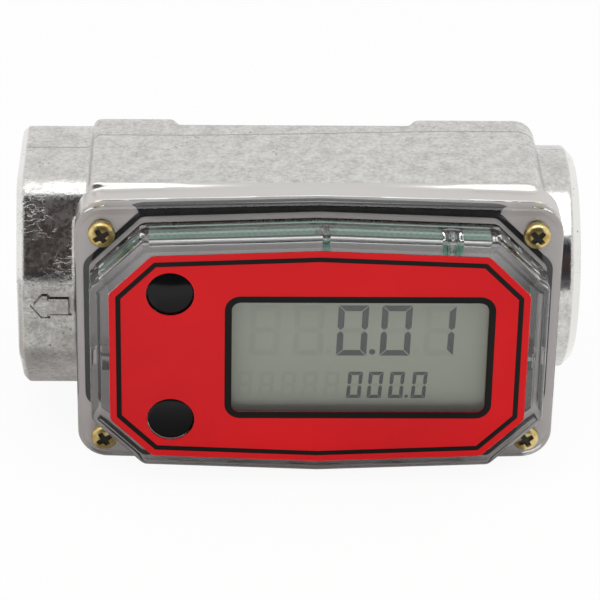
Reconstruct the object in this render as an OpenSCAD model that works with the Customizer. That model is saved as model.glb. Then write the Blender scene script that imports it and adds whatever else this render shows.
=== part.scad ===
// Inline turbine flow meter with a battery-powered display under a clear cover.
// Lengths are in millimetres and angles in degrees.
// X runs along the flow axis from the outlet mouth to the inlet mouth, the display faces -Y and +Z is up.

/* [Casting] */
// Length of the octagonal hub on the outlet side
outlet_hub_l = 13.9; // [11:0.1:24]
// Length of the block that carries the display
block_l = 86.6; // [86:0.1:104]
// Length of the hub on the inlet side
inlet_hub_l = 7.5; // [5:0.1:20]
// Outlet hub across its flats
outlet_af = 47.8; // [44:0.1:50]
// Corner radius of the outlet hub
outlet_corner_r = 7; // [2:0.5:12]
// How far the outlet hub's top flat reaches from the flow axis towards the display
outlet_top_reach = 15.4; // [10:0.1:16]
// Height of the upper end of the outlet hub's front flat above the flow axis
outlet_front_rise = 7.2; // [6.5:0.1:9.9]
// Inlet hub across its flats
inlet_af = 43.4; // [40:0.1:48]
// Corner radius of the inlet hub
inlet_corner_r = 18.5; // [2:0.5:19]
// Height of the block
block_h = 56.3; // [56:0.1:66]
// Corner radius of the block beside the inlet hub
block_corner_r = 4.2; // [2:0.1:8]
// Distance from the flow axis down to the middle of the display
display_drop = 2.35; // [0:0.05:3]
// Distance from the flow axis to the front of the block
block_front = 20.3; // [19.5:0.1:21.5]
// Thickness of the block behind the flow axis
block_back = 5.6; // [4:0.1:10]
// How far the bosses at both ends of the block stand out at the back
boss_rise = 3.1; // [1:0.1:6]
// Width of the back boss beside the outlet hub
outlet_boss_w = 15.5; // [10:0.5:25]
// Width of the back boss beside the inlet hub
inlet_boss_w = 23.5; // [10:0.5:30]
// Diameter of the barrel behind the block
barrel_d = 40; // [37:0.5:41]
// Thickness of the rim that the clear cover seats on
rim_t = 5.3; // [4:0.1:8]
// Length of the raised flow arrow
arrow_l = 7; // [5:0.5:9]
// Width of the raised flow arrow
arrow_w = 4.5; // [2:0.1:8]
// Height of the flow arrow above the flow axis
arrow_z = 1.2; // [-3:0.1:3]
// How far the flow arrow stands out
arrow_t = 0.6; // [0.3:0.1:1.2]

/* [Ports and flow chamber] */
// Minor diameter of both port threads
port_d = 29.2; // [28:0.1:30.5]
// Length of the outlet port
outlet_port_l = 19; // [14:0.5:22]
// Length of the inlet port
inlet_port_l = 17; // [13:0.5:22]
// Diameter of the bore that holds the supports
chamber_d = 25.2; // [24:0.1:26]
// Depth of the shoulder that each support seats on
shoulder_t = 0.6; // [0.3:0.1:1]
// Length of the rotor space between the two shoulders
rotor_space_l = 21; // [20:0.5:26]
// Wall between the flow chamber and the pocket behind the display
floor_t = 2.9; // [2:0.1:4]

/* [Turbine] */
// Gap between the rotor's vane tips and the wall
tip_gap = 0.4; // [0.2:0.05:1]
// Diameter of the rotor's hub
rotor_hub_d = 8.4; // [7:0.1:10]
// Number of vanes on the rotor
vane_count = 8; // [5:1:8]
// Thickness of a rotor vane
vane_t = 1; // [0.6:0.1:1.3]
// Chord of a rotor vane
vane_chord = 13; // [8:0.5:14]
// Angle between a rotor vane and the flow axis
vane_angle = 38; // [20:1:45]
// Diameter of the fixed spindle
spindle_d = 2; // [1.6:0.1:2.6]
// Running gap between the spindle and its bushes, on the radius
spindle_gap = 0.04; // [0.02:0.01:0.08]
// Outer diameter of the rotor's bushes
bush_d = 4; // [3.8:0.1:5]
// Length of a bush
bush_l = 5; // [3:0.5:6]
// Gap between a bush and its thrust washer
end_gap = 0.1; // [0.05:0.01:0.2]
// Thickness of a thrust washer
washer_t = 0.5; // [0.3:0.1:1]
// Number of magnets in the rotor's hub
magnet_count = 4; // [1:1:4]
// Diameter of a magnet in the rotor's hub
magnet_d = 1.8; // [1:0.1:2]
// Length of a support
support_l = 16; // [12:0.5:18]
// Wall of a support's ring
support_ring_t = 1.3; // [1:0.1:2]
// Clearance of a support in its bore, on the radius
support_gap = 0.05; // [0.02:0.01:0.1]
// Diameter of a support's hub
support_hub_d = 8; // [7:0.1:10]
// Length of the pointed nose of a support's hub
nose_l = 6; // [3:0.5:8]
// Number of straightening vanes in a support
straightener_count = 5; // [3:1:7]
// Thickness of a straightening vane
straightener_t = 1; // [0.6:0.1:1.5]
// Width of a retaining ring along the bore
ring_w = 1.2; // [0.8:0.1:2]
// Depth of a retaining ring's groove
ring_groove_t = 0.8; // [0.4:0.1:0.9]
// Height of a retaining ring's section
ring_section = 1.7; // [1.2:0.1:2]

/* [Clear cover] */
// Thickness of the cover's flange
flange_t = 3.47; // [2.5:0.05:5]
// How far the cover's flange overhangs the block at each end
cover_overhang = 2.5; // [1:0.1:3]
// How far the cover's straight edge stays below the top of the block
cover_margin = 1.3; // [0.5:0.1:2.5]
// Corner radius of the cover
cover_corner_r = 5.8; // [3:0.1:8]
// Rise of the long edges towards their middle
crown = 1.2; // [0:0.1:2]
// Width of the flange beside the raised window, at the ends
flange_side = 2.9; // [2.5:0.1:3.5]
// Width of the flange above and below the raised window
flange_top = 2.85; // [2.5:0.05:3.5]
// Size of the raised window's cut corners
corner_cut = 9.8; // [8.5:0.1:12]
// Corner radius of the raised window
dome_corner_r = 2; // [0.5:0.1:4]
// Side wall of the clear cover
cover_wall = 2; // [1.5:0.1:2.4]
// Front wall of the clear cover, behind the label
front_wall = 2.2; // [1.5:0.1:3]
// Gap between the cover's side wall and the gasket
gasket_offset = 0.3; // [0:0.05:0.3]
// Width of the gasket
gasket_w = 1.2; // [1.2:0.1:1.9]
// Thickness of the gasket
gasket_t = 1.5; // [1:0.1:2]

/* [Label and buttons] */
// Thickness of the label
label_t = 0.3; // [0.2:0.05:0.6]
// Clear rim beside the label, at the ends
label_side_rim = 3.7; // [3:0.1:5]
// Clear rim above and below the label
label_top_rim = 2.7; // [2:0.1:4]
// Corner radius of the label
label_corner_r = 1.8; // [0.5:0.1:4]
// Width of the display window
window_w = 47.9; // [40:0.1:50]
// Height of the display window
window_h = 23.5; // [18:0.1:25]
// Corner radius of the display window
window_r = 1.6; // [0.5:0.1:4]
// Distance from the middle of the label to the middle of the window
window_x = 7.6; // [5.5:0.1:8]
// Diameter of a button
button_d = 8.7; // [7:0.1:9]
// Running gap around a button, on the radius
button_gap = 0.08; // [0.03:0.01:0.1]
// Travel of a button
button_travel = 0.5; // [0.2:0.1:0.7]
// Width of a button's hidden flange
button_flange = 0.9; // [0.5:0.1:1]
// Thickness of a button's hidden flange
button_flange_t = 0.9; // [0.5:0.1:1]
// Depth of the dish in a button's face
button_dish = 0.35; // [0.1:0.05:0.5]
// Distance from the middle of the label to the buttons
button_x = 27.8; // [27.5:0.1:29]
// Distance of a button above or below the middle of the label
button_z = 13.4; // [10:0.1:13.5]

/* [Display electronics] */
// Thickness of the circuit board
board_t = 1.6; // [1:0.1:2]
// Gap around the circuit board
board_gap = 0.6; // [0.3:0.1:1]
// Height of the rubber connectors between board and display
connector_t = 2.5; // [2:0.1:4]
// Thickness of the display glass
lcd_t = 2.8; // [2:0.1:3.5]
// Width of the display glass
lcd_w = 55; // [52:0.5:56]
// Height of the display glass
lcd_h = 29; // [27:0.5:30]
// Gap between the display glass and the cover
lcd_gap = 0.2; // [0.1:0.05:0.5]
// Wall of the frame around the display glass
lcd_frame_t = 1; // [0.6:0.1:1.2]
// Width of a switch
switch_w = 6; // [5:0.1:8]
// Height of a switch without its plunger
switch_t = 2.4; // [1.6:0.1:2.6]
// Diameter of a switch's plunger
plunger_d = 3.2; // [2:0.1:3.5]
// Width of the controller chip
chip_w = 10; // [7:0.5:14]
// Height of the controller chip
chip_t = 1.2; // [0.8:0.1:1.8]
// Diameter of the capacitor
capacitor_d = 5; // [4:0.1:5.5]
// Height of the capacitor
capacitor_l = 4.6; // [3:0.1:5]

/* [Batteries] */
// Diameter of a battery cell
cell_d = 10.5; // [10:0.1:10.6]
// Length of a battery cell with its button
cell_l = 44.5; // [40:0.5:45]
// Distance from the flow axis to a cell's own axis
cell_z = 8.6; // [8.6:0.1:9]
// Space under the cells
cell_lift = 0.5; // [0.2:0.1:0.8]
// Gap around a cell in its tray
cell_gap = 0.1; // [0.05:0.05:0.3]
// Length of a contact spring
spring_l = 4.3; // [3:0.1:5]
// Thickness of a contact plate
contact_t = 0.4; // [0.2:0.1:0.6]
// Plate of the battery tray that lies against the board
tray_plate_t = 1.4; // [1:0.1:2]
// Side wall of the battery tray
tray_wall = 0.8; // [0.6:0.1:0.9]
// End wall of the battery tray
tray_end_t = 1.2; // [0.8:0.1:2]
// Gap between the battery tray and the casting
tray_gap = 0.4; // [0.3:0.1:1]

/* [Pickup] */
// Diameter of the pickup's bobbin
bobbin_d = 5.8; // [5:0.1:6]
// Height of the pickup's bobbin
bobbin_l = 8; // [6:0.1:9]
// Thickness of a bobbin flange
bobbin_flange_t = 0.8; // [0.5:0.1:1.2]
// Diameter of the wire winding
winding_d = 5; // [4:0.1:5.4]
// Diameter of the pickup's core
core_d = 2; // [1.5:0.1:2.4]
// How far the core reaches into the floor of the pocket
core_sink = 1.1; // [0.5:0.1:1.4]
// Diameter of the pickup's pins
pin_d = 0.6; // [0.4:0.1:0.8]
// Distance between the pickup's pins
pin_pitch = 3.8; // [3.4:0.1:4]

/* [Screws] */
// Distance from the cover's edges to its screws, along the meter
screw_inset_x = 5.15; // [5:0.05:5.4]
// Distance from the cover's edges to its screws, up the meter
screw_inset_z = 4.95; // [4.8:0.05:5.2]
// Shank diameter of a cover screw
screw_d = 3; // [2.5:0.1:3]
// Head diameter of a cover screw
screw_head_d = 5.1; // [4.6:0.1:5.4]
// Head height of a cover screw
screw_head_t = 1.9; // [1.4:0.1:2.4]
// Shank length of a cover screw
screw_l = 14; // [10:0.5:15]
// Clearance around a screw in the cover, on the radius
screw_gap = 0.1; // [0.05:0.05:0.2]
// Shank diameter of a board screw
board_screw_d = 1.7; // [1.4:0.1:2]
// Head diameter of a board screw
board_screw_head_d = 3.4; // [3:0.1:3.6]
// Head height of a board screw
board_screw_head_t = 1.3; // [0.8:0.1:1.4]
// Shank length of a board screw
board_screw_l = 5.5; // [4:0.5:6]
// Diameter of the posts that hold the board
post_d = 4.8; // [4:0.1:5]

/* [Hidden] */

$fn = 64;
over = 1; // every cut runs this far past the surface it opens
arc_step = 12; // degrees between the points of a rounded corner, at most

// Colours of the finishes
cast_c = "#c9c7c2";
clear_c = [0.85, 0.9, 0.92, 0.35];
rubber_c = "#1c1c1e";
label_c = "#d51c24";
screw_c = "#d8c47a";
button_c = "#0b0b0d";
board_c = "#1f6b4a";
chip_c = "#202225";
steel_c = "#b9bcc0";
glass_c = "#8d9384";
frame_c = "#141416";
bezel_c = "#dfe0de";
cell_c = "#3a6ea5";
copper_c = "#b5651d";
plastic_c = "#e6e4dc";
rotor_c = "#24272c";
magnet_c = "#8f949b";

// Overall length and the middle of the display
meter_l = outlet_hub_l + block_l + inlet_hub_l;
mid_x = outlet_hub_l + block_l / 2;
mid_z = -display_drop;

// Distances in front of the flow axis, from the chamber out to the face of the label
pad_h = block_front;
rim_h = pad_h + rim_t;
pocket_h = chamber_d / 2 + floor_t;
cell_h = pocket_h + cell_lift + cell_d / 2;
plate_h = cell_h + cell_d / 2 + cell_gap;
board_back_h = plate_h + tray_plate_t;
board_h = board_back_h + board_t;
lcd_back_h = board_h + connector_t;
lcd_face_h = lcd_back_h + lcd_t;
wall_h = lcd_face_h + lcd_gap;
label_back_h = wall_h + front_wall;
face_h = label_back_h + label_t;
seat_h = rim_h + flange_t;

// Outlines of the cover, seen from the front
cover_w = block_l + 2 * cover_overhang;
cover_h = block_h - 2 * cover_margin;
dome_w = cover_w - 2 * flange_side;
dome_h = cover_h - 2 * flange_top;

// Sizes that only one piece or one joint uses
outlet_block_r = 1.5;
boss_slope_share = 0.5;
arrow_place_share = 0.468;
arrow_head_share = 0.25;
arrow_neck_share = 0.42;
arrow_shaft_share = 0.36;
recess_sink = 1;
hole_tip = 1;
button_sink = 0.15;
button_stop = 0.05;
button_edge = 0.45;
label_hole_gap = 0.15;
plunger_out = 1.1;
plunger_in = 0.8;
plunger_gap = 0.06;
stem_d = 4;
post_inset = 2.7;
post_shares = [[0.023, 1], [0.57, 1], [0.57, -1], [0.023, -1], [-0.84, 0]];
board_hole_gap = 0.1;
connector_w = 1.6;
connector_inset = 0.4;
connector_end = 3;
lcd_seat_gap = 0.1;
chip_gap = 2;
crystal_d = 3;
crystal_l = 8;
crystal_shares = [-0.74, 0.3];
capacitor_share = -0.62;
nub_d = 3.8;
nub_l = 1;
spring_d = 7;
spring_tip_d = 4.6;
contact_w = 8;
tray_lift = 0.3;
slot_gap = 0.4;
pin_slot_w = 1.6;
pin_slot_end = 0.6;
pin_out = 0.8;
bobbin_tube_d = 3;
core_out = 0.6;
spindle_seat = 5.5;
bush_out = 0.9;
washer_d = 4.8;
nose_tip_d = 2;
vane_root = 0.5;
vane_start = 90;
straightener_start = 90;
bore_relief = 0.4;
magnet_in = 1.7;
magnet_sink = 0.2;
ring_gap = 6;
recess_w = 0.9;
recess_l = 3.4;
recess_t = 1.2;
head_crown = 0.7;

// Flow chamber
chamber_r = chamber_d / 2;
space_r = chamber_r - shoulder_t;
space_a = mid_x - rotor_space_l / 2;
space_b = mid_x + rotor_space_l / 2;
tip_r = space_r - tip_gap;
rotor_hub_l = rotor_space_l - 2 * (washer_t + end_gap + bush_out);
spindle_hole_r = spindle_d / 2 + spindle_gap;

// Battery bay
bay_half = (cell_l + spring_l) / 2 + contact_t;
tray_half_l = bay_half + tray_end_t;
tray_half_h = cell_z + cell_d / 2 + cell_gap + tray_wall;
tray_h = pocket_h + tray_lift;

function unit(v) = v / norm(v);

// Points of the arc that rounds corner q of an outline running anticlockwise from p through q to s
function arc_at(p, q, s, r) =
    let (a = unit(p - q), b = unit(s - q),
        half = acos(a * b) / 2,
        middle = q + unit(a + b) * r / sin(half),
        first = q + a * r / tan(half) - middle,
        from = atan2(first.y, first.x),
        turn = 180 - 2 * half,
        steps = max(1, ceil(turn / arc_step)))
    [for (i = [0:steps]) middle + r * [cos(from + turn * i / steps), sin(from + turn * i / steps)]];

// A convex outline with each corner rounded, by one radius or by a list of them
function rounded(points, r) =
    let (n = len(points))
    [for (i = [0:n - 1])
        each arc_at(points[(i + n - 1) % n], points[i], points[(i + 1) % n], is_list(r) ? r[i] : r)];

function rectangle(w, h) = [[w, -h] / 2, [w, h] / 2, [-w, h] / 2, [-w, -h] / 2];

function octagon(af) =
    let (a = af / 2, c = a * tan(22.5))
    [[a, -c], [a, c], [c, a], [-c, a], [-a, c], [-a, -c], [-c, -a], [c, -a]];

// Outlet hub: an octagon whose upper front facet is steep
function outlet_outline() =
    let (a = outlet_af / 2, c = a * tan(22.5))
    [[a, -c], [a, c], [c, a], [-outlet_top_reach, a], [-a, outlet_front_rise], [-a, -c], [-c, -a], [c, -a]];

// Rectangle with cut corners whose long edges rise to a blunt point, drawn in by inset
function crowned_octagon(w, h, cut, inset) =
    let (a = w / 2 - inset, b = h / 2 - inset, c = cut - inset * (2 - sqrt(2)), top = b + crown)
    [[a, c - b], [a, b - c], [a - c, b], [0, top], [c - a, b], [-a, b - c],
        [-a, c - b], [c - a, -b], [0, -top], [a - c, -b]];

function dome_outline(inset, r = dome_corner_r) =
    rounded(crowned_octagon(dome_w, dome_h, corner_cut, inset), r);

function cover_outline() =
    let (a = cover_w / 2, b = cover_h / 2)
    rounded([[a, -b], [a, b], [0, b + crown], [-a, b], [-a, -b], [0, -b - crown]], cover_corner_r);

function label_outline() =
    rounded(crowned_octagon(dome_w - 2 * label_side_rim, dome_h - 2 * label_top_rim,
        corner_cut - (label_side_rim + label_top_rim) * (1 - sqrt(2) / 2), 0), label_corner_r);

// Children stand on a plane h in front of the flow axis, facing the reader, with x and z from the display's middle
module facing(h, x = 0, z = 0) {
    translate([mid_x + x, -h, mid_z + z]) rotate([90, 0, 0]) children();
}

// The same, with z from the flow axis
module facing_axis(h, x = 0, z = 0) {
    translate([mid_x + x, -h, z]) rotate([90, 0, 0]) children();
}

// Children stand on a plane across the flow axis, drawn in Y and Z, and grow towards +X
module along(x) {
    translate([x, 0, 0]) rotate([90, 0, 90]) children();
}

// A plain box with its low face at z = 0, centred in x and y
module pad(w, h, t) {
    translate([-w / 2, -h / 2, 0]) cube([w, h, t]);
}

module at_cover_screws() {
    for (x = [-1, 1], z = [-1, 1])
        facing(0, x * (cover_w / 2 - screw_inset_x), z * (cover_h / 2 - screw_inset_z)) children();
}

module at_posts() {
    for (share = post_shares)
        facing(0, share.x * dome_w / 2, share.y * (dome_h / 2 - cover_wall - post_inset)) children();
}

module at_buttons() {
    for (side = [-1, 1])
        facing(0, -button_x, side * button_z) children();
}

// Block with bosses at both ends of its back
module block() {
    back = block_back + boss_rise;
    left = outlet_hub_l + outlet_boss_w;
    right = outlet_hub_l + block_l - inlet_boss_w;
    foot = boss_slope_share * boss_rise;
    mouth = boss_slope_share * over;
    radii = [block_corner_r, block_corner_r, outlet_block_r, outlet_block_r];
    difference() {
        facing(-back) linear_extrude(back + pad_h) polygon(rounded(rectangle(block_l, block_h), radii));
        translate([0, 0, mid_z - block_h / 2 - over])
            linear_extrude(block_h + 2 * over)
                polygon([[left + foot, block_back], [right - foot, block_back],
                    [right + mouth, back + over], [left - mouth, back + over]]);
    }
}

// Raised arrow on the outlet hub that shows which way the fuel leaves
module flow_arrow() {
    head = arrow_head_share * arrow_l;
    neck = arrow_neck_share * arrow_l;
    shaft = arrow_shaft_share * arrow_w;
    translate([arrow_place_share * outlet_hub_l - arrow_l / 2, over - outlet_af / 2, arrow_z])
        rotate([90, 0, 0])
            linear_extrude(over + arrow_t)
                polygon([[0, 0], [head, -arrow_w / 2], [neck, -arrow_w / 2], [neck, -shaft],
                    [arrow_l, -shaft], [arrow_l, shaft], [neck, shaft], [neck, arrow_w / 2], [head, arrow_w / 2]]);
}

module flow_bores() {
    along(-over) cylinder(h = outlet_port_l + over, d = port_d);
    along(meter_l - inlet_port_l) cylinder(h = inlet_port_l + over, d = port_d);
    along(outlet_port_l - over) cylinder(h = space_a - outlet_port_l + over, r = chamber_r);
    along(space_b) cylinder(h = meter_l - inlet_port_l - space_b + over, r = chamber_r);
    along(space_a - over) cylinder(h = rotor_space_l + 2 * over, r = space_r);
    for (x = [space_a - support_l - ring_w, space_b + support_l])
        along(x) cylinder(h = ring_w, r = chamber_r + ring_groove_t);
}

module meter_casting() {
    color(cast_c) difference() {
        union() {
            along(0) linear_extrude(outlet_hub_l + over) polygon(rounded(outlet_outline(), outlet_corner_r));
            along(meter_l - inlet_hub_l - over)
                linear_extrude(inlet_hub_l + over) polygon(rounded(octagon(inlet_af), inlet_corner_r));
            along(outlet_hub_l / 2) cylinder(h = meter_l - (outlet_hub_l + inlet_hub_l) / 2, d = barrel_d);
            block();
            facing(pad_h - over) linear_extrude(rim_t + over) polygon(cover_outline());
            flow_arrow();
        }
        flow_bores();
        facing(pad_h - recess_sink) linear_extrude(rim_t + recess_sink + over) polygon(dome_outline(cover_wall));
        facing_axis(pocket_h)
            pad(2 * (tray_half_l + tray_gap), 2 * (tray_half_h + tray_gap), rim_h - pocket_h + over);
        facing_axis(pocket_h - core_sink) cylinder(h = core_sink + over, d = core_d);
        at_cover_screws()
            translate([0, 0, seat_h - screw_l - hole_tip]) cylinder(h = screw_l + hole_tip, d = screw_d);
    }
}

module cover_gasket() {
    color(rubber_c) facing(rim_h) linear_extrude(gasket_t) gasket_ring();
}

module gasket_ring() {
    difference() {
        polygon(dome_outline(-gasket_offset - gasket_w));
        polygon(dome_outline(-gasket_offset));
    }
}

module clear_cover() {
    color(clear_c) {
        difference() {
            union() {
                facing(rim_h) linear_extrude(flange_t) polygon(cover_outline());
                facing(rim_h) linear_extrude(face_h - rim_h) polygon(dome_outline(0));
            }
            facing(rim_h - over) linear_extrude(wall_h - rim_h + over) polygon(dome_outline(cover_wall));
            facing(rim_h - over) linear_extrude(gasket_t + over) gasket_ring();
            facing(label_back_h) linear_extrude(label_t + over) polygon(label_outline());
            at_buttons()
                translate([0, 0, wall_h - over]) cylinder(h = front_wall + 2 * over, r = button_d / 2 + button_gap);
            at_cover_screws()
                translate([0, 0, rim_h - over]) cylinder(h = flange_t + 2 * over, r = screw_d / 2 + screw_gap);
        }
        at_posts() translate([0, 0, board_h]) difference() {
            cylinder(h = wall_h - board_h, d = post_d);
            translate([0, 0, -over]) cylinder(h = board_screw_l - board_t + over, d = board_screw_d);
        }
    }
}

module face_label() {
    color(label_c) difference() {
        facing(label_back_h) linear_extrude(label_t) polygon(label_outline());
        facing(label_back_h - over, window_x)
            linear_extrude(label_t + 2 * over) polygon(rounded(rectangle(window_w, window_h), window_r));
        at_buttons()
            translate([0, 0, label_back_h - over])
                cylinder(h = label_t + 2 * over, r = button_d / 2 + label_hole_gap);
    }
}

module cover_screws() {
    crown_r = (pow(screw_head_d / 2, 2) + pow(head_crown, 2)) / (2 * head_crown);
    color(screw_c) at_cover_screws() translate([0, 0, seat_h]) {
        difference() {
            intersection() {
                cylinder(h = screw_head_t, d = screw_head_d);
                translate([0, 0, screw_head_t - crown_r]) sphere(r = crown_r);
            }
            for (turn = [0, 90])
                rotate(turn) translate([0, 0, screw_head_t - recess_t]) pad(recess_l, recess_w, recess_t + over);
        }
        translate([0, 0, -screw_l]) cylinder(h = screw_l, d = screw_d);
    }
}

// Push button with a dished face, held in by its hidden flange
module button(side) {
    front = face_h - button_sink;
    shelf = wall_h - button_stop;
    foot = board_h + switch_t + plunger_out;
    dish_r = (pow(button_d / 2 - button_edge, 2) + pow(button_dish, 2)) / (2 * button_dish);
    color(button_c) facing(0, -button_x, side * button_z) difference() {
        union() {
            translate([0, 0, shelf - button_flange_t]) cylinder(h = front - shelf + button_flange_t, d = button_d);
            translate([0, 0, shelf - button_flange_t])
                cylinder(h = button_flange_t, r = button_d / 2 + button_flange);
            translate([0, 0, foot]) cylinder(h = shelf - foot, d = stem_d);
        }
        translate([0, 0, front - button_dish + dish_r]) sphere(r = dish_r);
    }
}

module plunger(side) {
    low = board_h + switch_t - plunger_in;
    color(plastic_c) facing(low, -button_x, side * button_z) cylinder(h = plunger_in + plunger_out, d = plunger_d);
}

module upper_button() { button(1); }
module lower_button() { button(-1); }
module upper_plunger() { plunger(1); }
module lower_plunger() { plunger(-1); }

module switch_bodies() {
    well = plunger_in + button_travel + plunger_gap;
    color(chip_c) at_buttons() difference() {
        translate([0, 0, board_h]) pad(switch_w, switch_w, switch_t);
        translate([0, 0, board_h + switch_t - well]) cylinder(h = well + over, r = plunger_d / 2 + plunger_gap);
    }
}

module circuit_board() {
    color(board_c) difference() {
        facing(board_back_h) linear_extrude(board_t) polygon(dome_outline(cover_wall + board_gap));
        at_posts()
            translate([0, 0, board_back_h - over])
                cylinder(h = board_t + 2 * over, r = board_screw_d / 2 + board_hole_gap);
        at_pins(board_back_h - over) cylinder(h = board_t + 2 * over, d = pin_d);
    }
}

module controller_chip() {
    color(chip_c) facing(board_h, pin_pitch / 2 + chip_gap + chip_w / 2) pad(chip_w, chip_w, chip_t);
}

module capacitor() {
    color(steel_c) facing(board_h, capacitor_share * dome_w / 2) cylinder(h = capacitor_l, d = capacitor_d);
}

// Metal can that lies against the back of the board, along Z
module crystal() {
    color(steel_c)
        translate([mid_x + crystal_shares.x * dome_w / 2, crystal_d / 2 - board_back_h, mid_z])
            translate([0, 0, crystal_shares.y * dome_h / 2 - crystal_l / 2]) cylinder(h = crystal_l, d = crystal_d);
}

module board_screws() {
    color(steel_c) at_posts() translate([0, 0, board_back_h]) {
        cylinder(h = board_screw_l, d = board_screw_d);
        translate([0, 0, -board_screw_head_t]) cylinder(h = board_screw_head_t, d = board_screw_head_d);
    }
}

module lcd_glass() {
    color(glass_c) facing(lcd_back_h, window_x) pad(lcd_w, lcd_h, lcd_t);
}

module lcd_frame() {
    inner_w = lcd_w + 2 * lcd_seat_gap;
    inner_h = lcd_h + 2 * lcd_seat_gap;
    color(bezel_c) facing(board_h, window_x) difference() {
        pad(inner_w + 2 * lcd_frame_t, inner_h + 2 * lcd_frame_t, lcd_face_h - board_h);
        translate([0, 0, -over]) pad(inner_w, inner_h, lcd_face_h - board_h + 2 * over);
    }
}

module lcd_connectors() {
    side = lcd_h / 2 - connector_inset - connector_w / 2;
    color(rubber_c)
        for (z = [-side, side])
            facing(board_h, window_x, z) pad(lcd_w - 2 * connector_end, connector_w, connector_t);
}

module battery_tray() {
    color(frame_c) difference() {
        facing_axis(tray_h) pad(2 * tray_half_l, 2 * tray_half_h, board_back_h - tray_h);
        for (z = [-cell_z, cell_z])
            facing_axis(tray_h - over, 0, z) pad(2 * bay_half, cell_d + 2 * cell_gap, plate_h - tray_h + over);
        facing_axis(tray_h - over) pad(bobbin_d + 2 * slot_gap, 2 * cell_z, plate_h - tray_h + over);
        facing_axis(plate_h - over) pad(pin_pitch + 2 * pin_slot_end, pin_slot_w, tray_plate_t + 2 * over);
    }
}

// A cell with its button towards +X, turned end for end where side is -1
module cell(side) {
    tail = bay_half - contact_t - spring_l;
    color(cell_c) translate([mid_x, -cell_h, side * cell_z]) turned(side) {
        along_local(-tail) cylinder(h = cell_l - nub_l, d = cell_d);
        along_local(cell_l - nub_l - tail) cylinder(h = nub_l, d = nub_d);
    }
}

// The same as along, from the place that the parent is at
module along_local(x) {
    translate([x, 0, 0]) rotate([0, 90, 0]) children();
}

// Children are turned end for end about the vertical where side is -1
module turned(side) {
    rotate([0, 0, side > 0 ? 0 : 180]) children();
}

module upper_cell() { cell(1); }
module lower_cell() { cell(-1); }

module spring_contacts() {
    color(steel_c)
        for (side = [-1, 1])
            translate([mid_x, -cell_h, side * cell_z]) turned(side) {
                along_local(-bay_half) cylinder(h = contact_t, d = contact_w);
                along_local(contact_t - bay_half) cylinder(h = spring_l, d1 = spring_d, d2 = spring_tip_d);
            }
}

module plate_contacts() {
    color(steel_c)
        for (side = [-1, 1])
            translate([mid_x, -cell_h, side * cell_z]) turned(side)
                along_local(bay_half - contact_t) cylinder(h = contact_t, d = contact_w);
}

module pickup_bobbin() {
    color(plastic_c) facing_axis(pocket_h) difference() {
        union() {
            cylinder(h = bobbin_flange_t, d = bobbin_d);
            cylinder(h = bobbin_l, d = bobbin_tube_d);
            translate([0, 0, bobbin_l - bobbin_flange_t]) cylinder(h = bobbin_flange_t, d = bobbin_d);
        }
        translate([0, 0, -over]) cylinder(h = bobbin_l + 2 * over, d = core_d);
    }
}

module pickup_winding() {
    color(copper_c) facing_axis(pocket_h + bobbin_flange_t) difference() {
        cylinder(h = bobbin_l - 2 * bobbin_flange_t, d = winding_d);
        translate([0, 0, -over]) cylinder(h = bobbin_l + 2 * over, d = bobbin_tube_d);
    }
}

module pickup_core() {
    color(steel_c) facing_axis(pocket_h - core_sink) cylinder(h = core_sink + bobbin_l + core_out, d = core_d);
}

module at_pins(h) {
    for (side = [-1, 1])
        facing_axis(h, side * pin_pitch / 2) children();
}

module pickup_pins() {
    low = pocket_h + bobbin_l;
    color(copper_c) at_pins(low) cylinder(h = board_h + pin_out - low, d = pin_d);
}

// Flow straightener that carries one end of the spindle, with its nose away from the rotor
module support() {
    ring_r = chamber_r - support_gap;
    straight_l = support_l - nose_l;
    difference() {
        union() {
            difference() {
                cylinder(h = support_l, r = ring_r);
                translate([0, 0, -over]) cylinder(h = support_l + 2 * over, r = ring_r - support_ring_t);
            }
            cylinder(h = straight_l, d = support_hub_d);
            translate([0, 0, straight_l]) cylinder(h = nose_l, d1 = support_hub_d, d2 = nose_tip_d);
            for (i = [1:straightener_count])
                rotate((360 * i + straightener_start) / straightener_count)
                    translate([support_hub_d / 2 - vane_root, -straightener_t / 2, 0])
                        cube([ring_r - support_ring_t - support_hub_d / 2 + 2 * vane_root, straightener_t, straight_l]);
        }
        translate([0, 0, -over]) cylinder(h = spindle_seat + over, d = spindle_d);
    }
}

module outlet_support() { color(plastic_c) translate([space_a, 0, 0]) rotate([0, -90, 0]) support(); }
module inlet_support() { color(plastic_c) translate([space_b, 0, 0]) rotate([0, 90, 0]) support(); }

// Open spring ring that keeps a support in its bore
module retaining_ring(x) {
    r = chamber_r + ring_groove_t;
    color(steel_c) along(x) difference() {
        cylinder(h = ring_w, r = r);
        translate([0, 0, -over]) cylinder(h = ring_w + 2 * over, r = r - ring_section);
        translate([-r, -ring_gap / 2, -over]) cube([r, ring_gap, ring_w + 2 * over]);
    }
}

module outlet_ring() { retaining_ring(space_a - support_l - ring_w); }
module inlet_ring() { retaining_ring(space_b + support_l); }

module spindle() {
    color(steel_c) along(space_a - spindle_seat) cylinder(h = rotor_space_l + 2 * spindle_seat, d = spindle_d);
}

module thrust_washers() {
    color(steel_c)
        for (x = [space_a, space_b - washer_t])
            along(x) difference() {
                cylinder(h = washer_t, d = washer_d);
                translate([0, 0, -over]) cylinder(h = washer_t + 2 * over, r = spindle_hole_r);
            }
}

// Children repeat round the rotor's axis at its middle, with local z pointing outwards
module round_rotor(count, start) {
    for (i = [1:count])
        translate([mid_x, 0, 0]) rotate([start + 360 * i / count, 0, 0]) children();
}

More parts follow.
